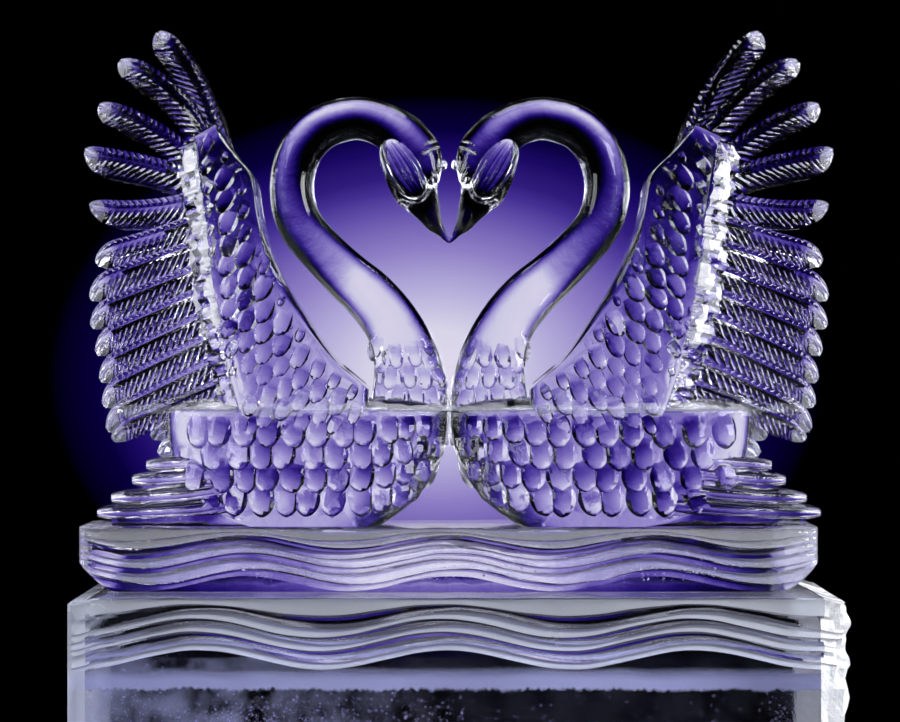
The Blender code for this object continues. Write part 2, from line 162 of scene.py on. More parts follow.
def keep_form(name, shape, collection=forms, finish=None):
    """A closed bmesh as an object of the joining collection. finish(point) says how it is finished."""
    bmesh.ops.recalc_face_normals(shape, faces=shape.faces)
    open_edges = sum(1 for edge in shape.edges if not edge.is_manifold)
    if open_edges:
        print("open form", name, open_edges)
    for face in shape.faces:
        face.material_index = finish(face.calc_center_median()) if finish else CLEAR
    mesh = mesh_of(name, shape)
    for _ in (CLEAR, FROSTED, DULL):
        mesh.materials.append(None)
    return place_object(name, mesh, collection)


def keep_with_tree(name, shape):
    """Keep a form, and give a search tree of its faces."""
    shape.normal_update()
    tree = BVHTree.FromBMesh(shape)
    keep_form(name, shape)
    return tree


def seen_at(tree, side, face, away, height):
    """Where a form is met when looked at straight from the front or back, and its normal there."""
    aim = spot(side, away, 0.0, height) + Vector((0, face * 0.4, 0))
    found, normal, _, _ = tree.ray_cast(aim, Vector((0, -face, 0)))
    if found and normal.y * face < 0:
        normal = -normal
    return found, normal


def signed_power(value, power):
    return math.copysign(abs(value) ** power, value)


# %% [markdown]
# ## Neck and head
# The neck is one sweeping line with a round section. It is thick where it leaves the breast, even
# round the arch of the heart, wide and flat at the head, and thin at the bill. A dozen places along
# that line with their radius say it all, and a smooth curve runs through them.

# %% Carve the necks
# Distance away, height, radius, and how deep the section is for its width.
NECK_LINE = [
    (0.060, 0.200, 0.060, 0.97),
    (0.053, 0.253, 0.053, 1.09),
    (0.058, 0.307, 0.045, 1.24),
    (0.077, 0.355, 0.0385, 1.30),
    (0.107, 0.393, 0.0360, 1.18),
    (0.136, 0.419, 0.0335, 1.0),
    (0.168, 0.450, 0.0312, 1.0),
    (0.195, 0.480, 0.0308, 1.0),
    (0.208, 0.506, 0.0305, 1.0),
    (0.2135, 0.538, 0.0300, 1.0),
    (0.210, 0.569, 0.0298, 1.0),
    (0.198, 0.598, 0.0302, 1.0),
    (0.171, 0.6235, 0.0300, 1.0),
    (0.129, 0.635, 0.0292, 1.0),
    (0.094, 0.628, 0.0298, 1.0),
    (0.069, 0.613, 0.0332, 0.97),
    (0.0556, 0.594, 0.0387, 0.86),
    (0.0502, 0.578, 0.0405, 0.80),
    (0.0489, 0.558, 0.0385, 0.80),
    (0.0448, 0.538, 0.0328, 0.80),
    (0.0380, 0.5245, 0.0257, 0.82),
    (0.0312, 0.512, 0.0197, 0.87),
    (0.0258, 0.5015, 0.0150, 0.95),
    (0.0197, 0.4905, 0.0110, 1.0),
    (0.0115, 0.481, 0.0063, 1.1),
    (0.0054, 0.473, 0.0040, 1.2),
    (-0.0008, 0.4675, 0.0030, 1.2),
]
NECK_STEPS = 104
NECK_SIDES = 36
# The foot of the neck is flatter, as it runs into the slab's flat faces.
NECK_FOOT_SQUARENESS, NECK_FOOT_SHARE = 0.62, 0.44
HEAD_SQUARENESS, HEAD_FROM, HEAD_OVER = 0.48, 0.60, 0.10


def make_neck(side):
    def at(i, j):
        share = i / NECK_STEPS
        away, height, radius, deep = curve_through(NECK_LINE, share)
        ahead = curve_through(NECK_LINE, share + 0.004)
        behind = curve_through(NECK_LINE, share - 0.004)
        along = Vector((ahead[0] - behind[0], ahead[1] - behind[1])).normalized()
        turn = 2 * math.pi * j / NECK_SIDES
        power = 1.0 - NECK_FOOT_SQUARENESS * (1.0 - ease(share / NECK_FOOT_SHARE))
        power -= HEAD_SQUARENESS * ease((share - HEAD_FROM) / HEAD_OVER)
        out = radius * signed_power(math.cos(turn), power)
        return spot(
            side,
            away + along.y * out,
            radius * deep * signed_power(math.sin(turn), power),
            height - along.x * out,
        )

    return keep_with_tree("neck", tube(NECK_STEPS, NECK_SIDES, at))


neck_faces = {side: make_neck(side) for side in (LEFT, RIGHT)}
print("necks made")

# %% [markdown]
# ## Bodies
# Below the neck the swan is an egg lying on its side, flattened a little where the slab's faces
# stopped the carver. A sphere is pushed into that shape, and kept to plant scales on later.

# %% Carve the bodies
BODY_MIDDLE = (0.1886, 0.2368)
BODY_HALF_LENGTH = 0.1910
BODY_HALF_THICKNESS = 0.111
BODY_BELOW, BODY_ABOVE = 0.1764, 0.0230
BODY_SQUARENESS = 2.5
BODY_REAR_FULLNESS = 0.45
# How flat the two faces are: nearer to 0 is flatter.
BODY_FACE_POWER, BODY_FACE_LEVEL = 0.42, 0.24


def body_point(side, turn, tilt):
    """A point on the egg: turn 0 is the breast and 90 degrees the slab's back."""
    along = signed_power(math.cos(turn), 2.0 / BODY_SQUARENESS)
    over = signed_power(math.sin(turn), BODY_FACE_POWER)
    level = max(0.0, math.cos(tilt))
    taper = level if along > 0 else level**BODY_REAR_FULLNESS
    rise = BODY_ABOVE if tilt > 0 else BODY_BELOW
    return spot(
        side,
        BODY_MIDDLE[0] - BODY_HALF_LENGTH * taper * along,
        BODY_HALF_THICKNESS * level ** (1.0 if tilt > 0 else BODY_FACE_LEVEL) * over,
        BODY_MIDDLE[1] + rise * math.sin(tilt),
    )


def make_body(side):
    """The egg, and a search tree of its faces."""
    shape = bmesh.new()
    bmesh.ops.create_uvsphere(shape, u_segments=72, v_segments=36, radius=1.0)
    for vert in shape.verts:
        turn, tilt = math.atan2(vert.co.y, vert.co.x), math.asin(max(-1.0, min(1.0, vert.co.z)))
        vert.co = body_point(side, turn, tilt)
    return keep_with_tree("body", shape)


body_faces = {side: make_body(side) for side in (LEFT, RIGHT)}
print("bodies made")

# %% [markdown]
# ## Wings: the thick part
# The coverts are left nearly the full thickness of the slab. Their edge towards the neck is a long
# clean curve. The other edge is where the long feathers start, and there the ice steps down in a
# rough slope that the chisel has left white.

# %% Carve the coverts
COVERT_EDGE = [
    (0.312, 0.622),
    (0.288, 0.585),
    (0.265, 0.556),
    (0.259, 0.525),
    (0.251, 0.484),
    (0.232, 0.435),
    (0.212, 0.396),
    (0.190, 0.362),
    (0.168, 0.328),
    (0.145, 0.299),
    (0.127, 0.284),
    (0.108, 0.268),
]
ROOT_LINE = [
    (0.340, 0.606),
    (0.336, 0.552),
    (0.328, 0.504),
    (0.326, 0.470),
    (0.322, 0.416),
    (0.312, 0.362),
    (0.301, 0.314),
    (0.290, 0.273),
    (0.276, 0.225),
]
COVERT_FOOT = (0.108, 0.200)
COVERT_MIDDLE = (0.25, 0.40)
COVERT_HALF_THICKNESS = 0.103
COVERT_FOOT_MORE = 0.007
EDGE_POINTS, ROOT_POINTS = 40, 40
# How far in the outline is drawn at each depth: a rounded rim front and back.
COVERT_RIM = [(0.0, 0.014), (0.0015, 0.007), (0.005, 0.002), (0.011, 0.0)]


def covert_half_thickness(height):
    """Half the thickness of the coverts, which is that of the body at their foot."""
    return COVERT_HALF_THICKNESS + COVERT_FOOT_MORE * (1.0 - ease((height - 0.245) / 0.09))


def make_coverts(side):
    outline = [curve_through(COVERT_EDGE, i / (EDGE_POINTS - 1)) for i in range(EDGE_POINTS)]
    outline.append(COVERT_FOOT)
    outline += [curve_through(ROOT_LINE, 1 - i / (ROOT_POINTS - 1)) for i in range(ROOT_POINTS)]
    levels = [(-COVERT_HALF_THICKNESS + deep, inset) for deep, inset in COVERT_RIM]
    levels += [(-across, inset) for across, inset in reversed(levels)]

    def at(i, j):
        across, inset = levels[i]
        drawn_in = inset / math.dist(outline[j], COVERT_MIDDLE)
        away, height = (p + (m - p) * drawn_in for p, m in zip(outline[j], COVERT_MIDDLE))
        thicker = covert_half_thickness(height) / COVERT_HALF_THICKNESS
        return spot(side, away, across * thicker, height)

    keep_form("coverts", tube(len(levels) - 1, len(outline), at))


for side in (LEFT, RIGHT):
    make_coverts(side)

# %% [markdown]
# ## Flight feathers
# Each long feather is a blade. Its rib runs along the upper edge and stands proud; below the rib the
# carver has cut slanting grooves for the barbs, and left a smooth rim at the tip. The tube's stations
# are slanted like the barbs, so each groove is a clean V with few faces. The lower edge dips behind
# the next feather's rib.

# %% Carve the flight feathers
# Tip, root, half width, bow of the middle line, and where the tip's point is across the feather.
FLIGHT_FEATHERS = [
    ((0.396, 0.747), (0.310, 0.560), 0.0200, 0.016, 0.3),
    ((0.447, 0.707), (0.318, 0.570), 0.0190, 0.020, 0.3),
    ((0.476, 0.644), (0.322, 0.545), 0.0180, 0.014, 0.5),
    ((0.494, 0.577), (0.322, 0.535), 0.0195, 0.006, 0.8),
    ((0.484, 0.507), (0.318, 0.522), 0.0185, -0.010, 0.5),
    ((0.478, 0.444), (0.314, 0.495), 0.0180, -0.004, -0.5),
    ((0.487, 0.399), (0.310, 0.462), 0.0180, 0.000, -0.7),
    ((0.486, 0.361), (0.306, 0.430), 0.0180, 0.000, -0.7),
    ((0.479, 0.325), (0.302, 0.400), 0.0180, 0.000, -0.7),
    ((0.474, 0.288), (0.298, 0.370), 0.0180, 0.000, -0.7),
    ((0.470, 0.254), (0.292, 0.340), 0.0180, 0.000, -0.7),
    ((0.465, 0.221), (0.284, 0.310), 0.0180, 0.000, -0.7),
    ((0.456, 0.204), (0.270, 0.284), 0.0150, 0.000, -0.4),
    ((0.403, 0.206), (0.260, 0.258), 0.0150, 0.000, -0.3),
    ((0.394, 0.185), (0.250, 0.236), 0.0150, 0.000, -0.4),
]
UPPER_FEATHERS = 5
TIP_LENGTH = 0.036
TIP_BLUNTNESS = 0.22
TIP_HALF_THICKNESS, HALF_THICKNESS, ROOT_HALF_THICKNESS = 0.045, 0.070, 0.100
FEATHER_STEP = 0.009
ROOT_BEVEL = 0.030
BARB_PITCH = 0.0095
STEPS_PER_BARB = 4
BARB_DEPTH = 0.0040
BACK_BARBS = 0.15
DULL_TIP = 0.021
BARB_SLANT = 1.0
RIB_HEIGHT = 0.0032
FRONT_ACROSS = [-1.0, -0.86, -0.66, -0.42, -0.16, 0.10, 0.30, 0.42, 0.56, 0.72, 0.88, 1.0]
BACK_ACROSS = [1.0, 0.72, 0.56, 0.42, 0.30, -0.16, -0.66, -1.0]
# A barb's groove at each step of its pitch.
BARB_SHAPE = [0.0, 0.85, 1.0, 0.80]


def feather_relief(across, rib, step, from_tip, barb_depth):
    """How far the surface stands below the rib's base line: a rib, grooves and a smooth rim."""
    over_rib = max(0.0, 1.0 - abs(across - rib) / 0.20)
    relief = -RIB_HEIGHT * ease(over_rib * 1.6)
    if across < rib:
        window = ease((rib - 0.16 - across) / 0.25) * ease((across + 1.0) / 0.30)
    else:
        window = 0.7 * ease((across - rib - 0.16) / 0.2) * ease((1.0 - across) / 0.2)
    window *= ease((from_tip - 0.014) / 0.016)
    return relief + barb_depth * window * BARB_SHAPE[step % STEPS_PER_BARB]


def make_feather(side, number, tip, root, half_width, bow, nib, rng):
    tip, root = Vector(tip), Vector(root)
    length = (root - tip).length
    inwards = (root - tip) / length
    upward = Vector((-inwards.y, inwards.x))
    if upward.y < 0:
        upward = -upward
    barbs = round(length / BARB_PITCH)
    stations = barbs * STEPS_PER_BARB
    tip_share = TIP_LENGTH / length
    bevel_share = 1.0 - ROOT_BEVEL / length
    rib = 0.42 if number <= UPPER_FEATHERS else 0.56
    depths = [BARB_DEPTH * rng.uniform(0.75, 1.15) for _ in range(barbs + 1)]
    lean = rng.uniform(-0.002, 0.002)

    def at(i, j):
        on_front = j < len(FRONT_ACROSS)
        across = FRONT_ACROSS[j] if on_front else BACK_ACROSS[j - len(FRONT_ACROSS)]
        share = i / stations
        slant = BARB_SLANT * half_width / length * (rib - across)
        slant *= ease(share / 0.36) * ease((1.0 - share) / 0.25)
        share = min(1.0, max(0.0, share - slant * (1 if across < rib else -0.8)))
        near_tip = max(0.0, 1.0 - share / tip_share)
        width = half_width * max(TIP_BLUNTNESS, math.sqrt(1.0 - near_tip**2))
        middle = tip + (root - tip) * share
        middle = middle + upward * (bow * 4 * share * (1 - share))
        middle = middle + upward * (nib * half_width * 0.7 * near_tip**2 + across * width)
        thick = TIP_HALF_THICKNESS + share * (HALF_THICKNESS - TIP_HALF_THICKNESS)
        if share > bevel_share:
            climb = (share - bevel_share) / (1.0 - bevel_share)
            thick += (ROOT_HALF_THICKNESS - thick) * climb
        thick += lean
        thick -= FEATHER_STEP * (1.0 - across) / 2
        thick -= 0.006 * near_tip**2
        groove = depths[min(barbs, i // STEPS_PER_BARB)]
        groove *= ease((1.0 - share) / 0.10) * (1.0 if on_front else BACK_BARBS)
        thick -= feather_relief(across, rib, i, share * length, groove)
        return spot(side, middle.x, thick if not on_front else -thick, middle.y)

    tip_at = spot(side, tip.x, 0.0, tip.y)

    def finish(point):
        near = Vector((point.x - tip_at.x, point.z - tip_at.z)).length < DULL_TIP
        return DULL if near and point.y < 0 else CLEAR

    shape = tube(stations, len(FRONT_ACROSS) + len(BACK_ACROSS), at)
    keep_form("flight feather", shape, finish=finish)


for side in (LEFT, RIGHT):
    feather_rng = random.Random(11 + side)
    for number, feather in enumerate(FLIGHT_FEATHERS, 1):
        make_feather(side, number, *feather, feather_rng)
print("flight feathers made")

# %% [markdown]
# ## The rough step at the feathers' roots
# Between the coverts and the feathers the ice drops by some thirty millimetres. The carver cut this
# slope with quick strokes of a chisel and left it unpolished, so it is the whitest part of the wing.

# %% Carve the step
STEP_STATIONS = 110
STEP_WIDTH = 0.022
STEP_WHITE_ABOVE = FOOT + 0.42
STEP_SIDES = 8


def make_step(side, face, rng):
    strokes = [rng.uniform(-1.0, 1.0) for _ in range(STEP_STATIONS + 1)]
    top, bottom = COVERT_HALF_THICKNESS - 0.001, HALF_THICKNESS - 0.006
    section = [
        (-0.012, bottom),
        (-0.010, top - 0.001),
        (0.002, top),
        (0.28 * STEP_WIDTH, top - 0.005),
        (0.55 * STEP_WIDTH, top - 0.013),
        (0.80 * STEP_WIDTH, top - 0.024),
        (STEP_WIDTH, top - 0.036),
        (STEP_WIDTH - 0.002, bottom - 0.012),
    ]

    def at(i, j):
        share = 0.03 + 0.94 * i / STEP_STATIONS
        away, height = curve_through(ROOT_LINE, share)
        out, deep = section[j]
        if 2 <= j <= 6:
            lump = noise.noise(Vector((share * 34.0, j * 0.6, 3.0 * side + face)))
            out += 0.0016 * strokes[i] + 0.0050 * lump
            deep += 0.0040 * lump + 0.0014 * strokes[(i * 7 + j * 3) % STEP_STATIONS]
        return spot(side, away + out, face * deep, height - 0.25 * out)

    shape = tube(STEP_STATIONS, STEP_SIDES, at)

    def finish(point):
        white = noise.noise(point * 48.0) - 0.35 * ease((STEP_WHITE_ABOVE - point.z) / 0.10)
        return FROSTED if white > 0.0 else DULL if white > -0.25 else CLEAR

    keep_form("chiselled step", shape, finish=finish)


for side in (LEFT, RIGHT):
    for face in (FRONT, BACK):
        make_step(side, face, random.Random(31 + 2 * side + face))
print("steps made")

# %% [markdown]
# ## Scales
# The small feathers of wing and body are shields that overlap like roof tiles. Each starts sunk
# under the row above, rises to its free end as a low dome, and drops off steeply round it. That steep
# rim bends the light away and draws the dark crescents that make the pattern. One small tube makes
# them all.

# %% Plant the scales
SCALE_STEPS = [0.0, 0.26, 0.48, 0.66, 0.78, 0.87, 0.94, 1.0]
SCALE_ACROSS = [-1.0, -0.86, -0.58, -0.20, 0.20, 0.58, 0.86, 1.0]
ROUND_FROM, RIM_FROM = 0.46, 0.72


def make_scale(spot_at, outward, down, half_width, length, lift, rng):
    """One shield on a surface: its middle top, which way is out, and which way it points."""
    outward = outward.normalized()
    down = (down - outward * down.dot(outward)).normalized()
    sideways = outward.cross(down)
    turned = rng.uniform(-0.14, 0.14)
    down, sideways = (
        down * math.cos(turned) + sideways * math.sin(turned),
        sideways * math.cos(turned) - down * math.sin(turned),
    )
    ridge = rng.uniform(-0.15, 0.15)
    lift *= rng.uniform(0.85, 1.2)
    count = len(SCALE_ACROSS)

    def at(i, j):
        share = SCALE_STEPS[i]
        on_front = j < count
        across = SCALE_ACROSS[j] if on_front else 1.0 - 2.0 * (j - count) / 3
        end = max(0.0, (share - ROUND_FROM) / (1.0 - ROUND_FROM))
        over = math.sqrt(max(0.03, 1.0 - end**2)) * across
        width = half_width * over * (0.86 + 0.14 * min(1.0, share * 3))
        height = -0.007
        if on_front:
            apart = math.hypot(over, end)
            gone = ease((apart - RIM_FROM) / (1.0 - RIM_FROM))
            dome = 1.0 - 0.50 * (over - ridge) ** 2 - 0.12 * end
            height = lift * ease(share / 0.55) * dome * (1.0 - gone) - 0.0030 * gone
        return spot_at + down * (length * share) + sideways * width + outward * height

    keep_form("scale", tube(len(SCALE_STEPS) - 1, count + 4, at))


def inside(point, outline):
    """Whether a flat point is inside an outline, by counting the edges to one side of it."""
    x, y = point
    hits = False
    for (x0, y0), (x1, y1) in zip(outline, outline[1:] + outline[:1]):
        if (y0 > y) != (y1 > y) and x < x0 + (y - y0) * (x1 - x0) / (y1 - y0):
            hits = not hits
    return hits


# The back's scales are coarser and lower.
BACK_COARSER, BACK_LIFT = 1.45, 0.0028
WING_SCALE_PITCH = (0.0250, 0.0255)
WING_SCALE_SIZE = (0.0152, 0.0440)
WING_SCALE_LIFT = 0.0075
WING_SCALE_POINTS_DOWN = Vector((0.42, -0.91))
WING_SCALES_FROM = Vector((0.300, 0.606))
WING_COLUMN = Vector((-0.477, -0.879))
COVERT_OUTLINE = COVERT_EDGE + [COVERT_FOOT, (0.276, 0.200)] + ROOT_LINE[::-1]
# How far along and across a scale's corners are, with a little to spare.
SCALE_CORNERS = [(-0.50, -1.1), (-0.50, 1.1), (0.20, -1.2), (0.20, 1.2), (0.66, 0.0)]


def room_for_scale(middle, half_width, length):
    """The largest size, as a share, at which a scale stays on the coverts."""
    aside = Vector((-WING_SCALE_POINTS_DOWN.y, WING_SCALE_POINTS_DOWN.x))
    for size in (1.0, 0.85, 0.7, 0.55, 0.4):
        corners = [
            middle + aside * (across * half_width * size) + WING_SCALE_POINTS_DOWN * (along * length * size)
            for along, across in SCALE_CORNERS
        ]
        if all(inside(corner, COVERT_OUTLINE) for corner in corners):
            return size
    return 0.0


def plant_wing_scales(side, face, coarser, rng):
    sideways = Vector((-WING_COLUMN.y, WING_COLUMN.x))
    wide, long = (pitch * coarser for pitch in WING_SCALE_PITCH)
    half_width, length = (size * coarser for size in WING_SCALE_SIZE)
    lift = WING_SCALE_LIFT if face == FRONT else BACK_LIFT
    planted = 0
    for row in range(-2, 24):
        for place in range(-14, 14):
            middle = WING_SCALES_FROM + WING_COLUMN * (row * long)
            middle += sideways * ((place + 0.5 * (row % 2)) * wide)
            size = inside(middle, COVERT_OUTLINE) and room_for_scale(middle, half_width, length)
            if not size:
                continue
            start = middle - WING_SCALE_POINTS_DOWN * (0.45 * length * size)
            base = spot(side, start.x, face * (covert_half_thickness(start.y) - 0.001), start.y)
            down = Vector((side * WING_SCALE_POINTS_DOWN.x, 0.0, WING_SCALE_POINTS_DOWN.y))
            make_scale(base, Vector((0, face, 0)), down, half_width * size, length * size, lift, rng)
            planted += 1
    return planted


BODY_SCALE_PITCH = (0.0330, 0.0300)
BODY_SCALE_SIZE = (0.0200, 0.0500)
BODY_SCALE_LIFT = 0.0085
BODY_SCALE_ROWS = 5
BODY_TOP_ROW = 0.266
BODY_SCALES_FROM, BODY_SCALES_TO = 0.014, 0.345


def plant_body_scales(side, face, coarser, rng):
    """Scales in rows round the body, found by looking straight at it from the front or the back."""
    wide, tall = (pitch * coarser for pitch in BODY_SCALE_PITCH)
    half_width, length = (size * coarser for size in BODY_SCALE_SIZE)
    planted = 0
    for row in range(round(BODY_SCALE_ROWS / coarser)):
        height = BODY_TOP_ROW - row * tall
        away = BODY_SCALES_FROM + 0.5 * wide * (row % 2)
        while away < BODY_SCALES_TO:
            near_breast = 1.0 - ease((away - 0.01) / 0.12)
            size = 1.0 - 0.30 * near_breast
            found, normal = seen_at(body_faces[side], side, face, away, height)
            if found and abs(normal.y) > 0.30:
                down = Vector((side * 0.10, 0.0, -1.0))
                lift = (BODY_SCALE_LIFT if face == FRONT else BACK_LIFT) * ease(abs(normal.y) / 0.9)
                make_scale(found - normal * 0.001, normal, down, half_width * size, length * size, lift, rng)
                planted += 1
            away += wide * size * rng.uniform(0.94, 1.06)
    return planted


for side in (LEFT, RIGHT):
    for face, coarser in ((FRONT, 1.0), (BACK, BACK_COARSER)):
        scale_rng = random.Random(71 + 2 * side + face)
        wing_count = plant_wing_scales(side, face, coarser, scale_rng)
        body_count = plant_body_scales(side, face, coarser, scale_rng)
        print("scales", side, face, wing_count, body_count)

# %% [markdown]
# ## Tail
# The tail is four flat tongues stacked like a fan, seen on edge from the front. They sweep up into
# the body, with solid ice between them.

# %% Carve the tails
# How far each reaches, its height at the tip and where it leaves the body.
TAIL_FEATHERS = [
    (0.406, 0.166, 0.196),
    (0.425, 0.146, 0.174),
    (0.453, 0.122, 0.146),
    (0.472, 0.102, 0.122),
]
TAIL_ROOT = 0.240
TAIL_HALF_HEIGHT = 0.0098
TAIL_HALF_WIDTH = 0.076
TAIL_ROOT_MORE = 0.030
TAIL_STEPS, TAIL_SIDES = 26, 28
TAIL_CORE = [(0.215, 0.214), (0.345, 0.186), (0.392, 0.156), (0.412, 0.136), (0.436, 0.112), (0.452, 0.096)]
TAIL_FOOT = 0.0604


def make_tail_feather(side, number, reach, tip_height, root_height):
    def at(i, j):
        share = i / TAIL_STEPS
        away = reach + (TAIL_ROOT - reach) * share
        height = tip_height + (root_height - tip_height) * share**2
        narrow = math.sqrt(1.0 - (1.0 - min(1.0, share / 0.16)) ** 2 * 0.8)
        turn = 2 * math.pi * j / TAIL_SIDES
        over = signed_power(math.cos(turn), 0.26)
        rise = signed_power(math.sin(turn), 0.60)
        half_width = (TAIL_HALF_WIDTH - 0.0020 * number) * (0.80 + 0.20 * narrow)
        half_width += TAIL_ROOT_MORE * ease(share / 0.75)
        half_height = TAIL_HALF_HEIGHT * (1.0 + 0.4 * share) * (0.3 + 0.7 * narrow)
        return spot(side, away, half_width * over, height + half_height * rise)

    keep_form("tail feather", tube(TAIL_STEPS, TAIL_SIDES, at))


def make_tail_core(side):
    half_width = TAIL_HALF_WIDTH - 0.0125

    def at(i, j):
        away, high = TAIL_CORE[i]
        across = half_width + TAIL_ROOT_MORE * ease((TAIL_CORE[-1][0] - away) / 0.17)
        across = across if j in (1, 2) else -across
        return spot(side, away, across, high if j in (2, 3) else TAIL_FOOT)

    keep_form("tail core", tube(len(TAIL_CORE) - 1, 4, at))


for side in (LEFT, RIGHT):
    make_tail_core(side)
    for number, feather in enumerate(TAIL_FEATHERS, 1):
        make_tail_feather(side, number, *feather)

# %% [markdown]
# ## Cheek, eye and bill
# The cheek is an oval of ribbed feathers, shaped like a melon whose ribs meet at both ends. The eye,
# the brow and the nostril are cut in with slender drops, which are taken away from the joined block.

# %% Carve the heads
CHEEK_MIDDLE = (0.062, 0.565)
CHEEK_HALF_SIZE = (0.0255, 0.0105, 0.0450)
CHEEK_TILT = math.radians(31)
CHEEK_DEEP = 0.0285
CHEEK_RIDGES = 12
CHEEK_GROOVE = 0.15
# Distance away, height, half sizes and tilt of each cut.
HEAD_CUTS = [
    (0.0165, 0.5560, (0.0090, 0.010, 0.0030), -0.45),
    (0.0215, 0.5480, (0.0022, 0.008, 0.0080), 0.50),
    (0.0245, 0.5290, (0.0018, 0.006, 0.0065), 0.35),
    (0.0250, 0.6020, (0.0120, 0.010, 0.0022), 0.55),
    (0.0290, 0.5900, (0.0110, 0.010, 0.0022), 0.45),
    (0.0180, 0.5060, (0.0012, 0.006, 0.0180), 0.42),
]
CUT_DEEP = 0.026
KNOB_AT, KNOB_HALF_SIZE = (0.0085, 0.5720), (0.006, 0.012, 0.007)


def drop(name, place, size, tilt, collection, groove=0.0, fineness=(14, 10)):
    """A long drop, tilted in the plane of the slab, with grooves along it where a depth is given."""
    shape = bmesh.new()
    bmesh.ops.create_uvsphere(shape, u_segments=fineness[0], v_segments=fineness[1], radius=1.0)
    for vert in shape.verts:
        turn = math.atan2(vert.co.y, vert.co.x)
        sunk = groove * (0.5 - 0.5 * math.cos(CHEEK_RIDGES * turn)) * (1.0 - vert.co.z**4)
        vert.co.x *= 1.0 - sunk
        vert.co.y *= 1.0 - sunk
    turned = Matrix.Translation(place) @ Matrix.Rotation(tilt, 4, "Y")
    bmesh.ops.transform(shape, verts=shape.verts, matrix=turned @ Matrix.Diagonal((*size, 1.0)))
    keep_form(name, shape, collection)


def make_head(side):
    for face in (FRONT, BACK):
        place = spot(side, CHEEK_MIDDLE[0], face * CHEEK_DEEP, CHEEK_MIDDLE[1])
        drop("cheek", place, CHEEK_HALF_SIZE, side * CHEEK_TILT, forms, CHEEK_GROOVE, (72, 24))
        for away, height, size, tilt in HEAD_CUTS:
            place = spot(side, away, face * CUT_DEEP, height)
            drop("cut in the head", place, size, side * tilt, cuts)
    drop("knob", spot(side, KNOB_AT[0], 0.0, KNOB_AT[1]), KNOB_HALF_SIZE, 0.0, forms)


for side in (LEFT, RIGHT):
    make_head(side)

# %% [markdown]
# ## The ruffle where the neck leaves the body
# Small loose feathers lie round the foot of the neck. They are scales again, smaller and turned.

# %% Plant the ruffle
RUFFLE_HALF_WIDTH, RUFFLE_LENGTH, RUFFLE_LIFT = 0.0125, 0.0340, 0.0028
# Distance away, height, and how far aside each points.
RUFFLE = [
    (0.094, 0.330, 0.30),
    (0.090, 0.312, 0.10),
    (0.072, 0.318, 0.05),
    (0.050, 0.320, -0.10),
    (0.028, 0.316, -0.30),
    (0.098, 0.292, 0.25),
    (0.076, 0.290, 0.10),
    (0.055, 0.292, 0.0),
    (0.034, 0.290, -0.15),
    (0.018, 0.286, -0.35),
    (0.090, 0.268, 0.15),
    (0.066, 0.266, 0.0),
    (0.044, 0.266, -0.1),
    (0.024, 0.262, -0.25),
]


def plant_ruffle(side, face, rng):
    for away, height, lean in RUFFLE:
        found, normal = seen_at(neck_faces[side], side, face, away, height + 0.008)
        if found and abs(normal.y) > 0.5:
            down = Vector((side * lean, 0.0, -1.0))
            make_scale(found, normal, down, RUFFLE_HALF_WIDTH, RUFFLE_LENGTH, RUFFLE_LIFT, rng)


for side in (LEFT, RIGHT):
    for face in (FRONT, BACK):
        plant_ruffle(side, face, random.Random(91 + 2 * side + face))

# %% [markdown]
# ## Water and plinth: blocks with carved fronts
# Both blocks are cut along their front in long scoops that rise and fall like waves. The section of
# the block is a list of depths and heights with a scoop between each two wave lines. It is repeated
# along the block, while every line follows its own wave, so the bands pinch and widen.

# %% A block with waves in its front
SCOOP_STEPS = 5
LEAST_BAND = 0.0014
# The upper lines rise and fall less than the lower ones.
FIRST_FOLLOWS, NEXT_FOLLOWS = 0.30, 0.30


def scoop(share):
    """The depth of a scoop between two lines: quick to its deepest, then slowly out again."""
    return math.sin(math.pi * share**0.7)


def wave_heights(x, top, lines, wave):
    """The heights of the lines at a place. The first is straight, and none may cross another."""
    heights = [top - lines[0]]
    for number, line in enumerate(lines[1:], 1):
        follows = min(1.0, FIRST_FOLLOWS + NEXT_FOLLOWS * number)
        heights.append(min(top - line + follows * wave(x, number), heights[-1] - LEAST_BAND))
    return heights


def front_points(x, top, lines, depths, wave, fade):
    """Depth and height of the points down the carved front."""
    heights = wave_heights(x, top, lines, wave)
    points = []
    for number, (high, low) in enumerate(zip(heights, heights[1:])):
        deepest = depths[number] * fade * min(1.0, (high - low) / 0.009)
        for step in range(SCOOP_STEPS):
            share = step / SCOOP_STEPS
            points.append((deepest * scoop(share), high + (low - high) * share))
    points.append((0.0, heights[-1]))
    return points


def band_at(point, top, lines, wave):
    """The number of the band that a point of the carved front is in."""
    heights = wave_heights(point.x, top, lines, wave)
    for number, (high, low) in enumerate(zip(heights, heights[1:])):
        if low <= point.z <= high:
            return number
    return -1


def melted(point, size, amount):
    """A small uneven push, as of melted ice."""
    return amount * noise.noise(point * (1.0 / size))


print("wave helpers ready")

# %% [markdown]
# ## The carved water
# The lowest part of the swans' slab is water. Its ends are rounded and undercut, and its top is
# rough under the birds.

# %% Carve the water
WATER_TOP = FOOT + 0.085
WATER_LEFT, WATER_RIGHT = -0.506, 0.476
WATER_HALF_WIDTH = 0.127
WATER_CORNER = 0.050
WATER_STATIONS = 150
WATER_WAVE_LENGTH = 0.272
WATER_RISE = 0.0100
WATER_LINES = [0.0012, 0.0050, 0.0095, 0.0220, 0.0330, 0.0410, 0.0540, 0.0640]
WATER_DEPTHS = [0.0030, 0.0035, 0.0060, 0.0080, 0.0060, 0.0085, 0.0060]
WATER_PHASES = [0.0, 0.30, 0.0, 0.20, -0.10, 0.12, -0.30, -0.05]
WATER_PALE = (0, 1, 3, 5)


def block_wave(length, rise, phases):
    def wave(x, number):
        turn = 2 * math.pi * (x - SWANS_X) / length + phases[number]
        return rise * (math.cos(turn) - 1.0)

    return wave


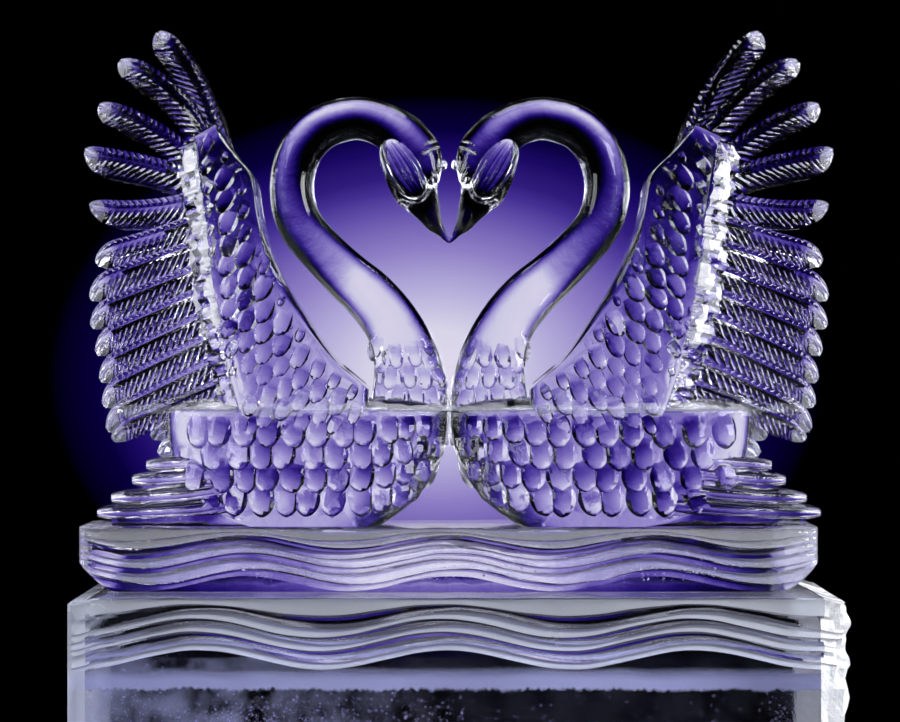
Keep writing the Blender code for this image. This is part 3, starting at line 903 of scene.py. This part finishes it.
def end_inset(from_end, corner):
    near_end = min(1.0, max(0.0, 1.0 - from_end / corner))
    return corner * (1.0 - math.sqrt(1.0 - near_end**2)) / 2


def make_water():
    wave = block_wave(WATER_WAVE_LENGTH, WATER_RISE, WATER_PHASES)
    sections = []
    for i in range(WATER_STATIONS + 1):
        x = WATER_LEFT + (WATER_RIGHT - WATER_LEFT) * i / WATER_STATIONS
        from_end = max(0.0, min(x - WATER_LEFT, WATER_RIGHT - x))
        near_end = max(0.0, 1.0 - from_end / WATER_CORNER)
        inset = end_inset(from_end, WATER_CORNER)
        front, back = -WATER_HALF_WIDTH + inset, WATER_HALF_WIDTH - inset
        low = FOOT + WATER_CORNER * 0.75 * near_end**1.5
        fade = ease((from_end + 0.012) / 0.05)
        carved = front_points(x, WATER_TOP, WATER_LINES, WATER_DEPTHS, wave, fade)
        section = [(back, low), (back, WATER_TOP - 0.010), (back - 0.003, WATER_TOP - 0.003)]
        section += [(back - 0.010, WATER_TOP), (0.0, WATER_TOP), (front + 0.010, WATER_TOP)]
        section += [(front + 0.003, WATER_TOP - 0.0008)]
        least = [low + 0.0003 * (len(carved) - n) for n in range(len(carved))]
        section += [(front + deep, max(z, floor)) for (deep, z), floor in zip(carved, least)]
        section += [(front, low + 0.0002), (front + 0.002, low)]
        sections.append([Vector((x, y, z)) for y, z in section])

    def at(i, j):
        point = sections[i][j].copy()
        edge = point.z > FOOT + 0.002
        if edge and 4 != j:
            point.y += melted(point, 0.03, 0.0012)
            point.z += melted(point + Vector((5, 5, 5)), 0.035, 0.0010)
        return point

    def finish(point):
        if point.x < WATER_LEFT + 0.010 or point.x > WATER_RIGHT - 0.045:
            return DULL
        pale = band_at(point, WATER_TOP, WATER_LINES, wave) in WATER_PALE
        return DULL if pale and point.y < 0.03 - WATER_HALF_WIDTH else CLEAR

    return keep_form("water", tube(WATER_STATIONS, len(sections[0]), at), blocks, finish)


water = make_water()
print("water made")

# %% [markdown]
# ## Joining the forms into one block
# Hundreds of closed forms overlap. A boolean union joins them in one go, so the ice is one solid
# without inner walls, which clear ice would show at once. Then the head's cuts are taken away, and
# the whole is parted where the two slabs were frozen together.

# %% Join and part
SEAM_FROST = 0.009
SEAM_BANDS = [
    SEAM_LOW - SEAM_FROST,
    SEAM_LOW - SEAM_FROST / 2,
    SEAM_HIGH + SEAM_FROST / 2,
    SEAM_HIGH + SEAM_FROST,
]


def boolean_with(obj, operation, other):
    step = obj.modifiers.new("join", "BOOLEAN")
    step.operation = operation
    step.solver = "MANIFOLD"
    if isinstance(other, bpy.types.Collection):
        step.operand_type = "COLLECTION"
        step.collection = other
    else:
        step.object = other
    bpy.context.view_layer.update()
    graph = bpy.context.evaluated_depsgraph_get()
    mesh = bpy.data.meshes.new_from_object(obj.evaluated_get(graph))
    obj.modifiers.clear()
    obj.data = mesh
    return obj


def part_of(obj, name, low, high):
    """The part of a solid between two heights, with frost where it was frozen to the other part."""
    shape = bmesh.new()
    size = Matrix.Diagonal((3.0, 3.0, high - low, 1.0))
    middle = Matrix.Translation((0.0, 0.0, (low + high) / 2))
    bmesh.ops.create_cube(shape, size=1.0, matrix=middle @ size)
    room = keep_form("room", shape, cuts)
    piece = boolean_with(place_object(name, obj.data), "INTERSECT", room)
    bpy.data.objects.remove(room)
    shape = bmesh.new()
    shape.from_mesh(piece.data)
    for height in SEAM_BANDS:
        if low < height < high:
            geometry = shape.verts[:] + shape.edges[:] + shape.faces[:]
            plane = {"plane_co": (0, 0, height), "plane_no": (0, 0, 1)}
            bmesh.ops.bisect_plane(shape, geom=geometry, dist=SAME_PLACE, **plane)
    for face in shape.faces:
        middle = face.calc_center_median()
        apart = max(SEAM_LOW - middle.z, middle.z - SEAM_HIGH)
        patchy = noise.noise(middle * 38.0)
        if 1e-5 < apart < SEAM_FROST * (0.62 + 0.9 * patchy):
            face.material_index = DULL
    open_edges = sum(1 for edge in shape.edges if not edge.is_manifold)
    triangles = sum(len(face.verts) - 2 for face in shape.faces)
    shape.to_mesh(piece.data)
    shape.free()
    print(name, "triangles", triangles, "open edges", open_edges)
    for _ in (CLEAR, FROSTED, DULL):
        piece.data.materials.append(None)
    return piece


swans = boolean_with(water, "UNION", forms)
print("joined faces", len(swans.data.polygons))
swans = boolean_with(swans, "DIFFERENCE", cuts)
print("after the cuts", len(swans.data.polygons))
lower_ice = part_of(swans, "lower_ice", FOOT - 0.1, SEAM_LOW)
upper_ice = part_of(swans, "upper_ice", SEAM_HIGH, SEAM_HIGH + 1.0)
for collection in (forms, cuts, blocks):
    for obj in list(collection.objects):
        bpy.data.objects.remove(obj)

# %% [markdown]
# ## The plinth
# The plinth is a whole block lying flat. Its right end broke when it was sawn, so it is jagged and
# white. Its waves are longer and deeper than the water's.

# %% Carve the plinth
PLINTH_HALF_LENGTH = PLINTH_HIGH.x
PLINTH_HALF_WIDTH = PLINTH_HIGH.y
PLINTH_TOP = PLINTH_HIGH.z
PLINTH_CORNER = 0.030
PLINTH_STATIONS = 170
PLINTH_WAVE_LENGTH = 0.320
PLINTH_RISE = 0.0125
PLINTH_LINES = [0.0015, 0.0075, 0.0180, 0.0260, 0.0350, 0.0430, 0.0580, 0.0670]
PLINTH_DEPTHS = [0.0020, 0.0080, 0.0060, 0.0085, 0.0060, 0.0110, 0.0050]
PLINTH_PHASES = [0.0, 0.16, -0.10, 0.22, -0.06, 0.20, -0.04, 0.05]
PLINTH_PALE = (0, 2, 4, 6)
BROKEN_FROM = 0.462
LEFT_FROST = -0.484
PLINTH_LOWER_ROWS = [0.160, 0.148, 0.136, 0.124, 0.112, 0.100, 0.088, 0.075, 0.062, 0.048, 0.034, 0.018]
PLINTH_END_DROP = 0.008


def make_plinth():
    wave = block_wave(PLINTH_WAVE_LENGTH, PLINTH_RISE, PLINTH_PHASES)
    sections = []
    for i in range(PLINTH_STATIONS + 1):
        x = PLINTH_HALF_LENGTH * (2 * i / PLINTH_STATIONS - 1)
        from_end = PLINTH_HALF_LENGTH - abs(x)
        inset = end_inset(from_end, PLINTH_CORNER)
        front, back = -PLINTH_HALF_WIDTH + inset, PLINTH_HALF_WIDTH - inset
        fade = ease((from_end + 0.006) / 0.045)
        top = PLINTH_TOP - PLINTH_END_DROP * ease(1.0 - from_end / 0.045)
        carved = front_points(x, top, PLINTH_LINES, PLINTH_DEPTHS, wave, fade)
        section = [(back, 0.0), (back, 0.080), (back, 0.160), (back, top - 0.010)]
        section += [(back - 0.004, top - 0.002), (back - 0.012, top), (0.0, top)]
        flat_place = len(section) - 1
        section += [(front + 0.014, top), (front + 0.005, top - 0.0006)]
        section += [(front + deep, z) for deep, z in carved]
        section += [(front, z) for z in PLINTH_LOWER_ROWS]
        section += [(front, 0.004), (front + 0.004, 0.0)]
        sections.append([Vector((x, y, z)) for y, z in section])

    def at(i, j):
        point = sections[i][j].copy()
        if point.z > 0.002:
            point.y += melted(point, 0.05, 0.0016)
            if j != flat_place:
                point.z += melted(point + Vector((5, 5, 5)), 0.04, 0.0008)
            broken = ease((point.x - BROKEN_FROM) / 0.03)
            if broken > 0:
                rough = noise.noise(point * 42.0) + 0.6 * noise.noise(point * 95.0)
                point.x -= broken * (0.006 + 0.006 * rough)
                point.y += broken * (0.010 + 0.010 * rough) * (1 if point.y < 0 else -1)
        return point

    def finish(point):
        if point.x > BROKEN_FROM + 0.004 + 0.006 * noise.noise(point * 30.0):
            return FROSTED
        if point.x < LEFT_FROST:
            return DULL
        if point.y < 0.04 - PLINTH_HALF_WIDTH and point.z > PLINTH_TOP - 0.1:
            return DULL if band_at(point, PLINTH_TOP, PLINTH_LINES, wave) in PLINTH_PALE else CLEAR
        return CLEAR

    return keep_form("plinth_ice", tube(PLINTH_STATIONS, len(sections[0]), at), blocks, finish)


plinth_ice = make_plinth()
print("plinth faces", len(plinth_ice.data.polygons))

# %% [markdown]
# ## Bubbles
# Air that froze into the blocks stands in small specks, most of them in a cloud at the plinth's left.
# Each speck is a small bead, and all the specks of a block are one piece. The finest bubbles of the
# plinth are too small to make one by one: a thin veil stands for them, a closed sheet that is
# see-through where there are few. Along the block the same veil carries a pale band, which is not
# bubbles but a painted band of light.

# %% Seal bubbles in the blocks
# Middle of each cloud, its half size, and how many specks it has.
PLINTH_CLOUDS = [
    ((-0.290, -0.10, 0.085), (0.150, 0.120, 0.035), 480),
    ((-0.420, -0.14, 0.120), (0.050, 0.070, 0.080), 150),
    ((-0.100, -0.06, 0.090), (0.150, 0.120, 0.040), 260),
    ((0.200, -0.05, 0.070), (0.240, 0.140, 0.050), 130),
    ((0.430, -0.10, 0.070), (0.030, 0.090, 0.050), 160),
]
WATER_CLOUDS = [
    ((-0.160, -0.085, 0.272), (0.110, 0.030, 0.008), 60),
    ((-0.030, -0.085, 0.276), (0.130, 0.030, 0.010), 120),
    ((0.240, -0.085, 0.274), (0.140, 0.030, 0.010), 80),
]
SPECK_SIZES = (0.0004, 0.0011)
LARGE_SHARE = 0.06
SPECK_LOT = 30


def make_specks(name, clouds, rng):
    """All specks of a block. They are made in small lots, which is much quicker than all at once."""
    places = []
    for middle, size, count in clouds:
        for _ in range(count):
            spread = (max(-1.0, min(1.0, 0.5 * rng.gauss(0.0, 1.0))) for _ in range(3))
            places.append(Vector(m + s * share for m, s, share in zip(middle, size, spread)))
    whole = bmesh.new()
    for first in range(0, len(places), SPECK_LOT):
        lot = bmesh.new()
        for place in places[first : first + SPECK_LOT]:
            radius = rng.uniform(*SPECK_SIZES) * (2.0 if rng.random() < LARGE_SHARE else 1.0)
            at_place = Matrix.Translation(place)
            bmesh.ops.create_icosphere(lot, subdivisions=1, radius=radius, matrix=at_place)
        mesh = mesh_of("lot", lot)
        whole.from_mesh(mesh)
        bpy.data.meshes.remove(mesh)
    specks = place_object(name, mesh_of(name, whole))
    print(name, "faces", len(specks.data.polygons))
    return specks


VEIL_ACROSS = -0.100
VEIL_HALF_LENGTH, VEIL_LOW, VEIL_HIGH = 0.496, 0.020, 0.168
VEIL_HALF_THICKNESS = 0.0015
VEIL_STATIONS, VEIL_ROWS = 60, 10


def make_veil():
    """A thin closed sheet in the middle of the plinth, where the finest bubbles are and a band of light is
    painted.
    """

    def at(i, j):
        x = VEIL_HALF_LENGTH * (2 * i / VEIL_STATIONS - 1)
        row = j if j < VEIL_ROWS else 2 * VEIL_ROWS - 1 - j
        deep = -VEIL_HALF_THICKNESS if j < VEIL_ROWS else VEIL_HALF_THICKNESS
        z = VEIL_LOW + (VEIL_HIGH - VEIL_LOW) * row / (VEIL_ROWS - 1)
        wavy = 0.012 * noise.noise(Vector((x * 6.0, 0.0, z * 6.0)))
        return Vector((x, VEIL_ACROSS + wavy + deep, z))

    shape = tube(VEIL_STATIONS, 2 * VEIL_ROWS, at)
    bmesh.ops.recalc_face_normals(shape, faces=shape.faces)
    veil = place_object("plinth_veil", mesh_of("plinth_veil", shape))
    veil.data.shade_smooth()
    return veil


plinth_veil = make_veil()
plinth_bubbles = make_specks("plinth_bubbles", PLINTH_CLOUDS, random.Random(5))
water_bubbles = make_specks("water_bubbles", WATER_CLOUDS, random.Random(6))

# %% [markdown]
# ## Ice
# Clear ice is glass with a lower index, 1.31. What makes it ice is its surface: never flat, with
# long melted ripples and a fine dull grain where a tool has passed. One node group gives the
# ripples' height and the dullness, and every finish uses it. Frosted and dull ice let less light
# through and scatter it. The veil is cloudy with fine bubbles at the block's left, and along one
# band it is a pale sheet of painted light.

# %% Finishes of ice
ICE_INDEX = 1.31


def feed(tree, node, inputs):
    """Give each input of a node, by name or number, its plain value or another node's output."""
    for name, value in inputs.items():
        if isinstance(value, bpy.types.NodeSocket):
            tree.links.new(value, node.inputs[name])
        else:
            node.inputs[name].default_value = value


def add_node(tree, kind, inputs, **settings):
    """A new shader node with its settings and inputs, as a list of its outputs."""
    node = tree.nodes.new("ShaderNode" + kind)
    for name, value in settings.items():
        setattr(node, name, value)
    feed(tree, node, inputs)
    return node.outputs


def combine(tree, operation, one, other):
    """Two values worked into one."""
    return add_node(tree, "Math", {0: one, 1: other}, operation=operation)[0]


def combine_vectors(tree, operation, one, other, result="Vector"):
    """Two vectors worked into one, or into a value."""
    return add_node(tree, "VectorMath", {0: one, 1: other}, operation=operation)[result]


def ramp_between(tree, value, low, high):
    """A soft step of a value from 0 at low to 1 at high."""
    ends = {"From Min": min(low, high), "From Max": max(low, high)}
    ends["To Min"], ends["To Max"] = (0.0, 1.0) if low < high else (1.0, 0.0)
    return add_node(tree, "MapRange", {"Value": value, **ends}, interpolation_type="SMOOTHSTEP")["Result"]


def make_melt_group():
    """Height and dullness of melted ice, from Object coordinates."""
    group = bpy.data.node_groups.new("melted ice", "ShaderNodeTree")
    kind = "NodeSocketFloat"
    usual = {"Ripple Size": 28.0, "Grain Size": 260.0, "Grain Share": 0.15, "Dullest": 0.2}
    for name, value in usual.items():
        made = group.interface.new_socket(name, in_out="INPUT", socket_type=kind)
        made.default_value = value
    group.interface.new_socket("Height", in_out="OUTPUT", socket_type=kind)
    group.interface.new_socket("Roughness", in_out="OUTPUT", socket_type=kind)
    entry, result = group.nodes.new("NodeGroupInput").outputs, group.nodes.new("NodeGroupOutput")
    place = add_node(group, "TexCoord", {})["Object"]

    def speckled(scale, detail):
        return add_node(group, "TexNoise", {"Vector": place, "Scale": scale, "Detail": detail})["Fac"]

    grained = combine(group, "MULTIPLY", speckled(entry["Grain Size"], 4.0), entry["Grain Share"])
    height = combine(group, "ADD", speckled(entry["Ripple Size"], 2.0), grained)
    ends = {"From Min": 0.45, "From Max": 0.75, "To Min": 0.02, "To Max": entry["Dullest"]}
    dull = add_node(group, "MapRange", {"Value": speckled(9.0, 3.0), **ends})
    feed(group, result, {"Height": height, "Roughness": dull["Result"]})
    return group


melt_group = make_melt_group()


def make_material(name, inputs):
    """A material whose shader has these inputs, and its node tree."""
    material = bpy.data.materials.new(name)
    material.use_nodes = True
    tree = material.node_tree
    feed(tree, tree.nodes["Principled BSDF"], inputs)
    return material, tree


def make_ice(name, colour, transmission, dullest, ripple, bump, grain=0.15):
    looks = {"Base Color": (*colour, 1.0), "IOR": ICE_INDEX, "Transmission Weight": transmission}
    material, tree = make_material(name, looks)
    values = {"Ripple Size": ripple, "Grain Share": grain, "Dullest": dullest}
    surface = add_node(tree, "Group", values, node_tree=melt_group)
    height = {"Strength": 1.0, "Distance": bump, "Height": surface["Height"]}
    normal = add_node(tree, "Bump", height)["Normal"]
    feed(tree, tree.nodes["Principled BSDF"], {"Normal": normal, "Roughness": surface["Roughness"]})
    return material


# Name, colour, transmission, greatest dullness, ripples' scale and height, share of the grain.
clear_ice = make_ice("clear ice", (0.93, 0.93, 0.99), 1.0, 0.06, 30.0, 0.0010)
frosted_ice = make_ice("frosted ice", (0.92, 0.93, 0.96), 0.30, 0.60, 90.0, 0.0020, 0.6)
dull_ice = make_ice("dull ice", (0.90, 0.92, 1.0), 0.76, 0.34, 60.0, 0.0014, 0.3)
pale_ice = make_ice("pale ice", (0.84, 0.88, 1.0), 0.62, 0.40, 24.0, 0.0014, 0.2)
block_ice = make_ice("plinth ice", (0.90, 0.91, 0.98), 1.0, 0.14, 14.0, 0.0012)
sealed_air, _ = make_material("sealed air", {"Base Color": (0.34, 0.31, 0.55, 1.0), "Roughness": 0.4})


def make_bubble_cloud_and_light_band():
    """A painted band of light along the block, and fine bubbles in a cloud at its left, thin elsewhere."""
    material, tree = make_material("bubble cloud and painted light band", {"Base Color": (0.52, 0.54, 0.86, 1.0), "Roughness": 1.0})
    place = add_node(tree, "TexCoord", {})["Object"]
    parts = add_node(tree, "SeparateXYZ", {"Vector": place})
    puffs = add_node(tree, "TexNoise", {"Vector": place, "Scale": 26.0, "Detail": 5.0})["Fac"]
    stretched = add_node(tree, "Mapping", {"Vector": place, "Scale": (150.0, 1.0, 14.0)})["Vector"]
    streaks = add_node(tree, "TexNoise", {"Vector": stretched, "Scale": 1.0})["Fac"]
    # The pale band is painted light: a soft band of light along the block, ragged below and soft above.
    level = combine(tree, "ADD", parts["Z"], combine(tree, "MULTIPLY", streaks, 0.012))
    above = ramp_between(tree, level, 0.1295, 0.1345)
    band = combine(tree, "MULTIPLY", above, ramp_between(tree, parts["Z"], 0.158, 0.136))
    puffy = ramp_between(tree, puffs, 0.30, 0.78)
    cloud = combine(tree, "MULTIPLY", ramp_between(tree, parts["X"], 0.02, -0.34), puffy)
    cloud = combine(tree, "MULTIPLY", cloud, 0.34)
    cloud = combine(tree, "ADD", cloud, combine(tree, "MULTIPLY", puffy, 0.02))
    mask = combine(tree, "MAXIMUM", combine(tree, "MULTIPLY", band, 0.80), cloud)
    feed(tree, tree.nodes["Principled BSDF"], {"Alpha": mask})
    return material


for piece, material in (
    (plinth_bubbles, sealed_air),
    (water_bubbles, sealed_air),
    (plinth_veil, make_bubble_cloud_and_light_band()),
):
    piece.data.materials.append(material)
    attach(piece, "root")

SHARP_ABOVE = math.radians(32)
for piece, material, dull, slot, node in (
    (upper_ice, clear_ice, dull_ice, "clear_ice", "upper_slab"),
    (lower_ice, clear_ice, dull_ice, "clear_ice", "lower_slab"),
    (plinth_ice, block_ice, pale_ice, "plinth_ice", "plinth"),
):
    mesh = piece.data
    mesh.materials[CLEAR], mesh.materials[FROSTED], mesh.materials[DULL] = material, frosted_ice, dull
    mesh.shade_smooth()
    mesh.set_sharp_from_angle(angle=SHARP_ABOVE)
    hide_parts(node)
    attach(piece, "root")
    frosty = sum(1 for face in mesh.polygons if face.material_index == FROSTED)
    print(piece.name, "faces", len(mesh.polygons), "frosted", frosty)

# %% [markdown]
# ## Light
# Clear ice shows what is behind it, so it is lit from behind and from the sides in a dark room. A
# soft violet glow lies straight behind the swans. Wide soft patches of light lie outside the view,
# where only rays bent by the ice reach them.

# %% The dark room
# Soft round patches of light: direction, full within, none beyond (degrees), colour, strength.
ROOM_PATCHES = [
    ((-0.90, 0.55, 0.10), 6.0, 22.0, (0.80, 0.80, 1.0), 0.55),
    ((0.90, 0.55, 0.10), 6.0, 22.0, (0.80, 0.80, 1.0), 0.75),
    ((0.0, 0.35, 1.0), 8.0, 28.0, (0.78, 0.78, 1.0), 0.30),
    ((0.0, -1.0, 0.5), 10.0, 50.0, (0.70, 0.70, 1.0), 0.04),
]


def make_world():
    world = bpy.data.worlds.new("dark room")
    bpy.context.scene.world = world
    world.use_nodes = True
    tree = world.node_tree
    tree.nodes.clear()
    place = add_node(tree, "TexCoord", {})["Generated"]
    total = (0.0, 0.0, 0.0)
    for direction, inner, outer, colour, strength in ROOM_PATCHES:
        middle = Vector(direction).normalized()
        towards = combine_vectors(tree, "DOT_PRODUCT", place, middle, "Value")
        patch = ramp_between(tree, towards, math.cos(math.radians(outer)), math.cos(math.radians(inner)))
        lit = {0: [channel * strength for channel in colour], "Scale": patch}
        tint = add_node(tree, "VectorMath", lit, operation="SCALE")["Vector"]
        total = combine_vectors(tree, "ADD", total, tint)
    light = add_node(tree, "Background", {"Color": total})
    add_node(tree, "OutputWorld", {"Surface": light["Background"]})


make_world()
print("dark room with", len(ROOM_PATCHES), "patches of light")

# %% [markdown]
# ## Lamps
# A glowing panel stands behind the swans, and the camera sees it: bright in its middle, then violet,
# then black. The other lamps are soft panels outside the view. They light the frosted ice.

# %% The glowing panel and the soft lamps
# The glow is wider than high, and dies away towards its edge: share of its reach, and colour.
GLOW_MIDDLE = Vector((-0.038, 1.30, 0.536))
GLOW_WIDER = 1.38
GLOW_REACH = 0.476
GLOW_SHADES = [
    (0.0, (0.76, 0.70, 0.85)),
    (0.16, (0.68, 0.66, 0.81)),
    (0.30, (0.47, 0.43, 0.71)),
    (0.45, (0.27, 0.21, 0.56)),
    (0.59, (0.12, 0.08, 0.40)),
    (0.66, (0.058, 0.03, 0.29)),
    (0.71, (0.03, 0.012, 0.20)),
    (0.80, (0.011, 0.003, 0.13)),
    (0.875, (0.002, 0.0, 0.043)),
    (1.0, (0.0, 0.0, 0.0)),
]


def make_panel(name, place, aim, size, power, colour=(1.0, 1.0, 1.0), seen=False):
    lamp = bpy.data.lights.new(name, "AREA")
    lamp.shape = "RECTANGLE"
    lamp.size, lamp.size_y = size
    lamp.energy = power
    lamp.color = colour
    panel = place_object(name, lamp)
    panel.location = place
    panel.rotation_euler = (Vector(aim) - Vector(place)).to_track_quat("-Z", "Y").to_euler()
    panel.visible_camera = seen
    return lamp


def make_glow():
    wide, high = 2 * GLOW_REACH * GLOW_WIDER, 2 * GLOW_REACH
    ahead = GLOW_MIDDLE + Vector((0.0, -1.0, 0.0))
    power = math.pi * wide * high
    lamp = make_panel("glowing panel", GLOW_MIDDLE, ahead, (wide, high), power, seen=True)
    lamp.use_nodes = True
    tree = lamp.node_tree
    place = add_node(tree, "NewGeometry", {})["Position"]
    offset = combine_vectors(tree, "SUBTRACT", place, GLOW_MIDDLE)
    squeezed = combine_vectors(tree, "MULTIPLY", offset, (1 / GLOW_WIDER, 0.0, 1.0))
    apart = add_node(tree, "VectorMath", {0: squeezed}, operation="LENGTH")["Value"]
    reach = add_node(tree, "MapRange", {"Value": apart, "From Max": GLOW_REACH})["Result"]
    shade = add_node(tree, "ValToRGB", {"Fac": reach})["Color"]
    ramp = shade.node.color_ramp
    ramp.interpolation = "LINEAR"
    ramp.elements[0].color = (*GLOW_SHADES[0][1], 1.0)
    ramp.elements[1].color = (*GLOW_SHADES[-1][1], 1.0)
    for position, colour in GLOW_SHADES[1:-1]:
        ramp.elements.new(position).color = (*colour, 1.0)
    feed(tree, tree.nodes["Emission"], {"Color": shade})


make_glow()
# Name, place, what it aims at, size, power and colour.
for panel in (
    ("left panel", (-2.6, 0.6, 1.2), (0.0, 0.0, 0.5), (1.2, 1.6), 60.0, (0.95, 0.96, 1.0)),
    ("right panel", (2.6, 0.6, 1.2), (0.0, 0.0, 0.5), (1.2, 1.6), 90.0, (0.95, 0.96, 1.0)),
    ("top panel", (0.0, 0.3, 3.0), (0.0, 0.0, 0.4), (2.0, 1.2), 60.0, (0.93, 0.94, 1.0)),
    ("left front panel", (-3.0, -2.0, 1.5), (0.0, 0.0, 0.4), (1.6, 2.0), 80.0, (0.92, 0.93, 1.0)),
    ("right front panel", (3.0, -2.2, 1.5), (0.0, 0.0, 0.4), (1.6, 2.0), 190.0, (0.97, 0.98, 1.0)),
):
    make_panel(*panel)
print("lamps made")

# %% [markdown]
# ## Floor and camera
# The camera stands where the photographer stood, five metres away with a long lens, level with the
# middle of the carving. The colours are shown as they are, without a film's curve over them, so
# violet stays violet.

# %% The floor and the camera
FLOOR_RADIUS = 0.72
CAMERA_PLACE = (-0.013, -5.150, 0.560)
CAMERA_LENS = 151.8


def make_floor():
    shape = bmesh.new()
    bmesh.ops.create_circle(shape, cap_ends=True, segments=96, radius=FLOOR_RADIUS)
    floor = place_object("floor", mesh_of("floor", shape))
    floor.location.z = -0.0005
    looks = {"Base Color": (0.03, 0.03, 0.04, 1.0), "Roughness": 0.7}
    floor.data.materials.append(make_material("dark floor", looks)[0])


make_floor()
camera_data = bpy.data.cameras.new("camera")
camera_data.lens = CAMERA_LENS
camera_data.sensor_width = 36.0
camera = place_object("camera", camera_data)
camera.location = CAMERA_PLACE
camera.rotation_euler = Euler((math.radians(90), 0.0, 0.0))
bpy.context.scene.camera = camera
bpy.context.scene.view_settings.view_transform = "Standard"
print("camera at", CAMERA_PLACE)
